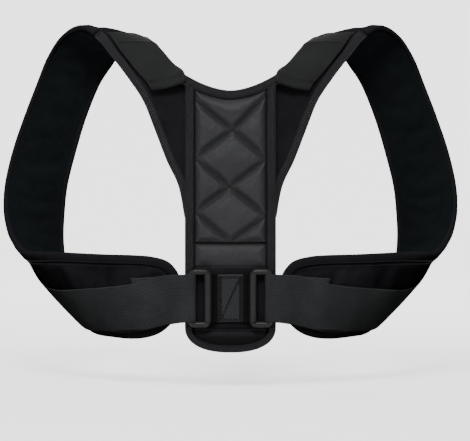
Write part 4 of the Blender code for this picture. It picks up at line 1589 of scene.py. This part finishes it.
class BRACE_OT_webbing(bpy.types.Operator):
    """Webbing sewn to the pad, turned through the ring and brought round to the front"""
    bl_idname = "brace.webbing"
    bl_label = "Webbing"

    def execute(self, context):
        half = size_mm("web_thickness") * 0.5
        inner_height, outer_height = 5.9, 6.5
        reach = size_mm("rail") + 0.2 + half
        fold = web_turn(arc((-OUTER_RAIL_X, RAIL_Y), reach, 84, -84, 22))
        inner = web_middle(23.82, 24.9, inner_height, WEB_SHARE, 0.055)
        outer = web_middle(24.9, TIP_CREASE + 0.02, outer_height, WEB_SHARE)
        whole = np.concatenate([inner, bridge(inner, fold, 5), fold, bridge(fold, outer, 5), outer])
        for side, mirror in SIDES:
            item = cloth_band("webbing_strap_" + side, whole, half, twill_webbing(), mirror, 0.15)
            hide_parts("webbing_inner_" + side, "webbing_outer_" + side,
                        "webbing_fold_" + side)
            follow(item, bend=ring_bend(side, mirror))
            self.tip(side, mirror, half, outer_height)
            lines = [self.row_across(s, inner_height + half + 0.08) for s in (23.92, 24.0)]
            item = stitches("webbing_stitches_" + side, lines, mirror=mirror, thread=1.3)
            follow(item, "loop_" + side)
        return {"FINISHED"}

    def tip(self, side, mirror, half, height):
        middle = web_middle(TIP_CREASE + 0.14, TIP_END, height, np.linspace(-0.015, 1.015, 30))
        item = cloth_band("tip_end_" + side, middle, half + 0.55, tab_webbing(), mirror)
        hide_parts("webbing_tip_" + side)
        follow(item, bend=tip_bend(side, mirror))
        hooks = web_middle(TIP_CREASE - 0.16, TIP_END + 0.08, height - half - 0.95,
                           np.linspace(0.08, 0.92, 16))
        item = cloth_band("tip_hooks_" + side, hooks, 0.5, hook_tape(), mirror)
        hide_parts("tip_hook_" + side)
        follow(item, "tip_" + side)
        rows = [self.row_across(s, height + half + 0.65)
                for s in (TIP_CREASE - 0.17, TIP_END + 0.10, TIP_END + 0.16)]
        item = stitches("tip_stitches_" + side, rows, mirror=mirror, thread=1.2)
        follow(item, "tip_" + side)

    def row_across(self, station, height):
        """A sewing line from near one edge of the webbing to near the other."""
        s = np.full(40, station)
        upper, lower = web_edges(s)
        return strip_line(LOOP, s, upper + (lower - upper) * np.linspace(0.06, 0.94, 40), height)


class BRACE_OT_thread_tacks(bpy.types.Operator):
    """Small pale thread bars at the tab and the pad's binding"""
    bl_idname = "brace.thread_tacks"
    bl_label = "Thread tacks"

    def execute(self, context):
        for side, mirror in SIDES:
            tacks = []
            for s, t, height in ((8.05, 0.985, 4.2), (24.9, 0.93, 4.2)):
                rows = np.linspace(s - 0.012, s + 0.012, 4)
                tacks.append(strip_line(LOOP, rows, np.full(4, t), height))
            item = stitches("thread_tacks_" + side, tacks, pitch=0.5, thread=0.9, mirror=mirror,
                            material=pale_thread())
            follow(item, "loop_" + side)
        return {"FINISHED"}


# ------------------------------------------------------------------ stage

# Name, place, target, size and power of each soft light.
LIGHTS = (
    ("key_light", (-0.12, -1.05, 1.12), (0, 0, 0.02), (0.7, 0.4), 24.0),
    ("side_light", (-1.4, -1.3, 0.25), (0, 0, 0), (0.35, 0.9), 1.0),
    ("fill_light", (0.0, -1.0, -0.95), (0, 0, -0.05), (1.2, 0.4), 3.6),
    ("top_light", (0.1, -0.25, 1.6), (0, 0, 0), (1.4, 0.5), 6.5),
    ("rear_light", (0.35, 1.5, 0.85), (0, 0, 0), (1.2, 0.7), 5.0),
    ("back_light", (0.0, 2.2, 2.6), (0, 3.6, 0.4), (3.0, 1.4), 40.0),
)


def area_light(name, place, target, size, power):
    light = bpy.data.lights.new(name, "AREA")
    light.shape = "RECTANGLE"
    light.size, light.size_y = size
    light.energy = power
    item = add_object(name, light)
    item.location = place
    aim = Vector(target) - Vector(place)
    item.rotation_euler = aim.to_track_quat("-Z", "Y").to_euler()


class BRACE_OT_stage(bpy.types.Operator):
    """Pale floor that curves up behind, soft lights and the camera"""
    bl_idname = "brace.stage"
    bl_label = "Stage"

    def execute(self, context):
        self.bowl()
        for light in LIGHTS:
            area_light(*light)
        world = bpy.data.worlds.new("pale_room")
        context.scene.world = world
        world.use_nodes = True
        background = world.node_tree.nodes["Background"]
        background.inputs["Color"].default_value = (1.0, 1.0, 1.0, 1.0)
        background.inputs["Strength"].default_value = 0.18
        camera = bpy.data.cameras.new("camera")
        camera.sensor_width = 36.0
        distance, seen = 1.6, 0.470
        camera.lens = camera.sensor_width * distance / seen
        camera.shift_x = 0.0097
        camera.clip_end = 30.0
        item = add_object("camera", camera)
        item.location = (0.0, -distance, 0.00125)
        item.rotation_euler = (math.pi / 2, 0.0, 0.0)
        context.scene.camera = item
        return {"FINISHED"}

    def bowl(self):
        """Round floor with a curved rim that glows, brighter towards the back, and doesn't light
        the brace.
        """
        floor = float(CAD_BOX[0][2]) - 0.035
        flat, bend, top, turns = 3.6, 1.3, 5.0, 96
        profile = [(0.02, 0.0), (1.2, 0.0), (flat, 0.0)]
        for i in range(1, 17):
            angle = math.pi / 2 * i / 16
            profile.append((flat + bend * math.sin(angle), bend * (1 - math.cos(angle))))
        profile.append((flat + bend, top))
        verts, faces = [], []
        for radius, rise in profile:
            for k in range(turns):
                angle = 2 * math.pi * k / turns
                verts.append((radius * math.cos(angle), radius * math.sin(angle), floor + rise))
        for a in range(0, (len(profile) - 1) * turns, turns):
            for k in range(turns):
                n = (k + 1) % turns
                faces.append((a + k, a + turns + k, a + turns + n, a + n))
        faces.append(tuple(range(turns)))
        mesh = bpy.data.meshes.new("studio_bowl")
        mesh.from_pydata(verts, [], faces)
        mesh.shade_smooth()
        mesh.materials.append(studio_floor())
        item = add_object("studio_bowl", mesh)
        item.visible_diffuse = False


# ------------------------------------------------------------------ panel and registration

STEPS = (
    BRACE_OT_stage,
    BRACE_OT_lining,
    BRACE_OT_quilted_cover,
    BRACE_OT_quilt_stitching,
    BRACE_OT_panel_tapes,
    BRACE_OT_painted_shade_sheet,
    BRACE_OT_anchor_patch,
    BRACE_OT_rings,
    BRACE_OT_wings,
    BRACE_OT_shoulder_tabs,
    BRACE_OT_strap_pads,
    BRACE_OT_webbing,
    BRACE_OT_thread_tacks,
)


class BRACE_PT_panel(bpy.types.Panel):
    """Sizes, colours and the steps that make the brace"""
    bl_idname = "BRACE_PT_panel"
    bl_label = "Posture Brace"
    bl_space_type = "VIEW_3D"
    bl_region_type = "UI"
    bl_category = "Brace"

    def draw(self, context):
        for group in (context.scene.brace_sizes, context.scene.brace_colours):
            box = self.layout.box()
            for key in group.__annotations__:
                box.prop(group, key)
        for step in STEPS:
            self.layout.operator(step.bl_idname)


CLASSES = (BraceSizes, BraceColours, BRACE_PT_panel) + STEPS


def register():
    for item in CLASSES:
        bpy.utils.register_class(item)
    bpy.types.Scene.brace_sizes = bpy.props.PointerProperty(type=BraceSizes)
    bpy.types.Scene.brace_colours = bpy.props.PointerProperty(type=BraceColours)


def unregister():
    del bpy.types.Scene.brace_colours
    del bpy.types.Scene.brace_sizes
    for item in reversed(CLASSES):
        bpy.utils.unregister_class(item)


def main():
    register()
    for step in STEPS:
        group, name = step.bl_idname.split(".")
        getattr(getattr(bpy.ops, group), name)()


if __name__ == "__main__":
    main()
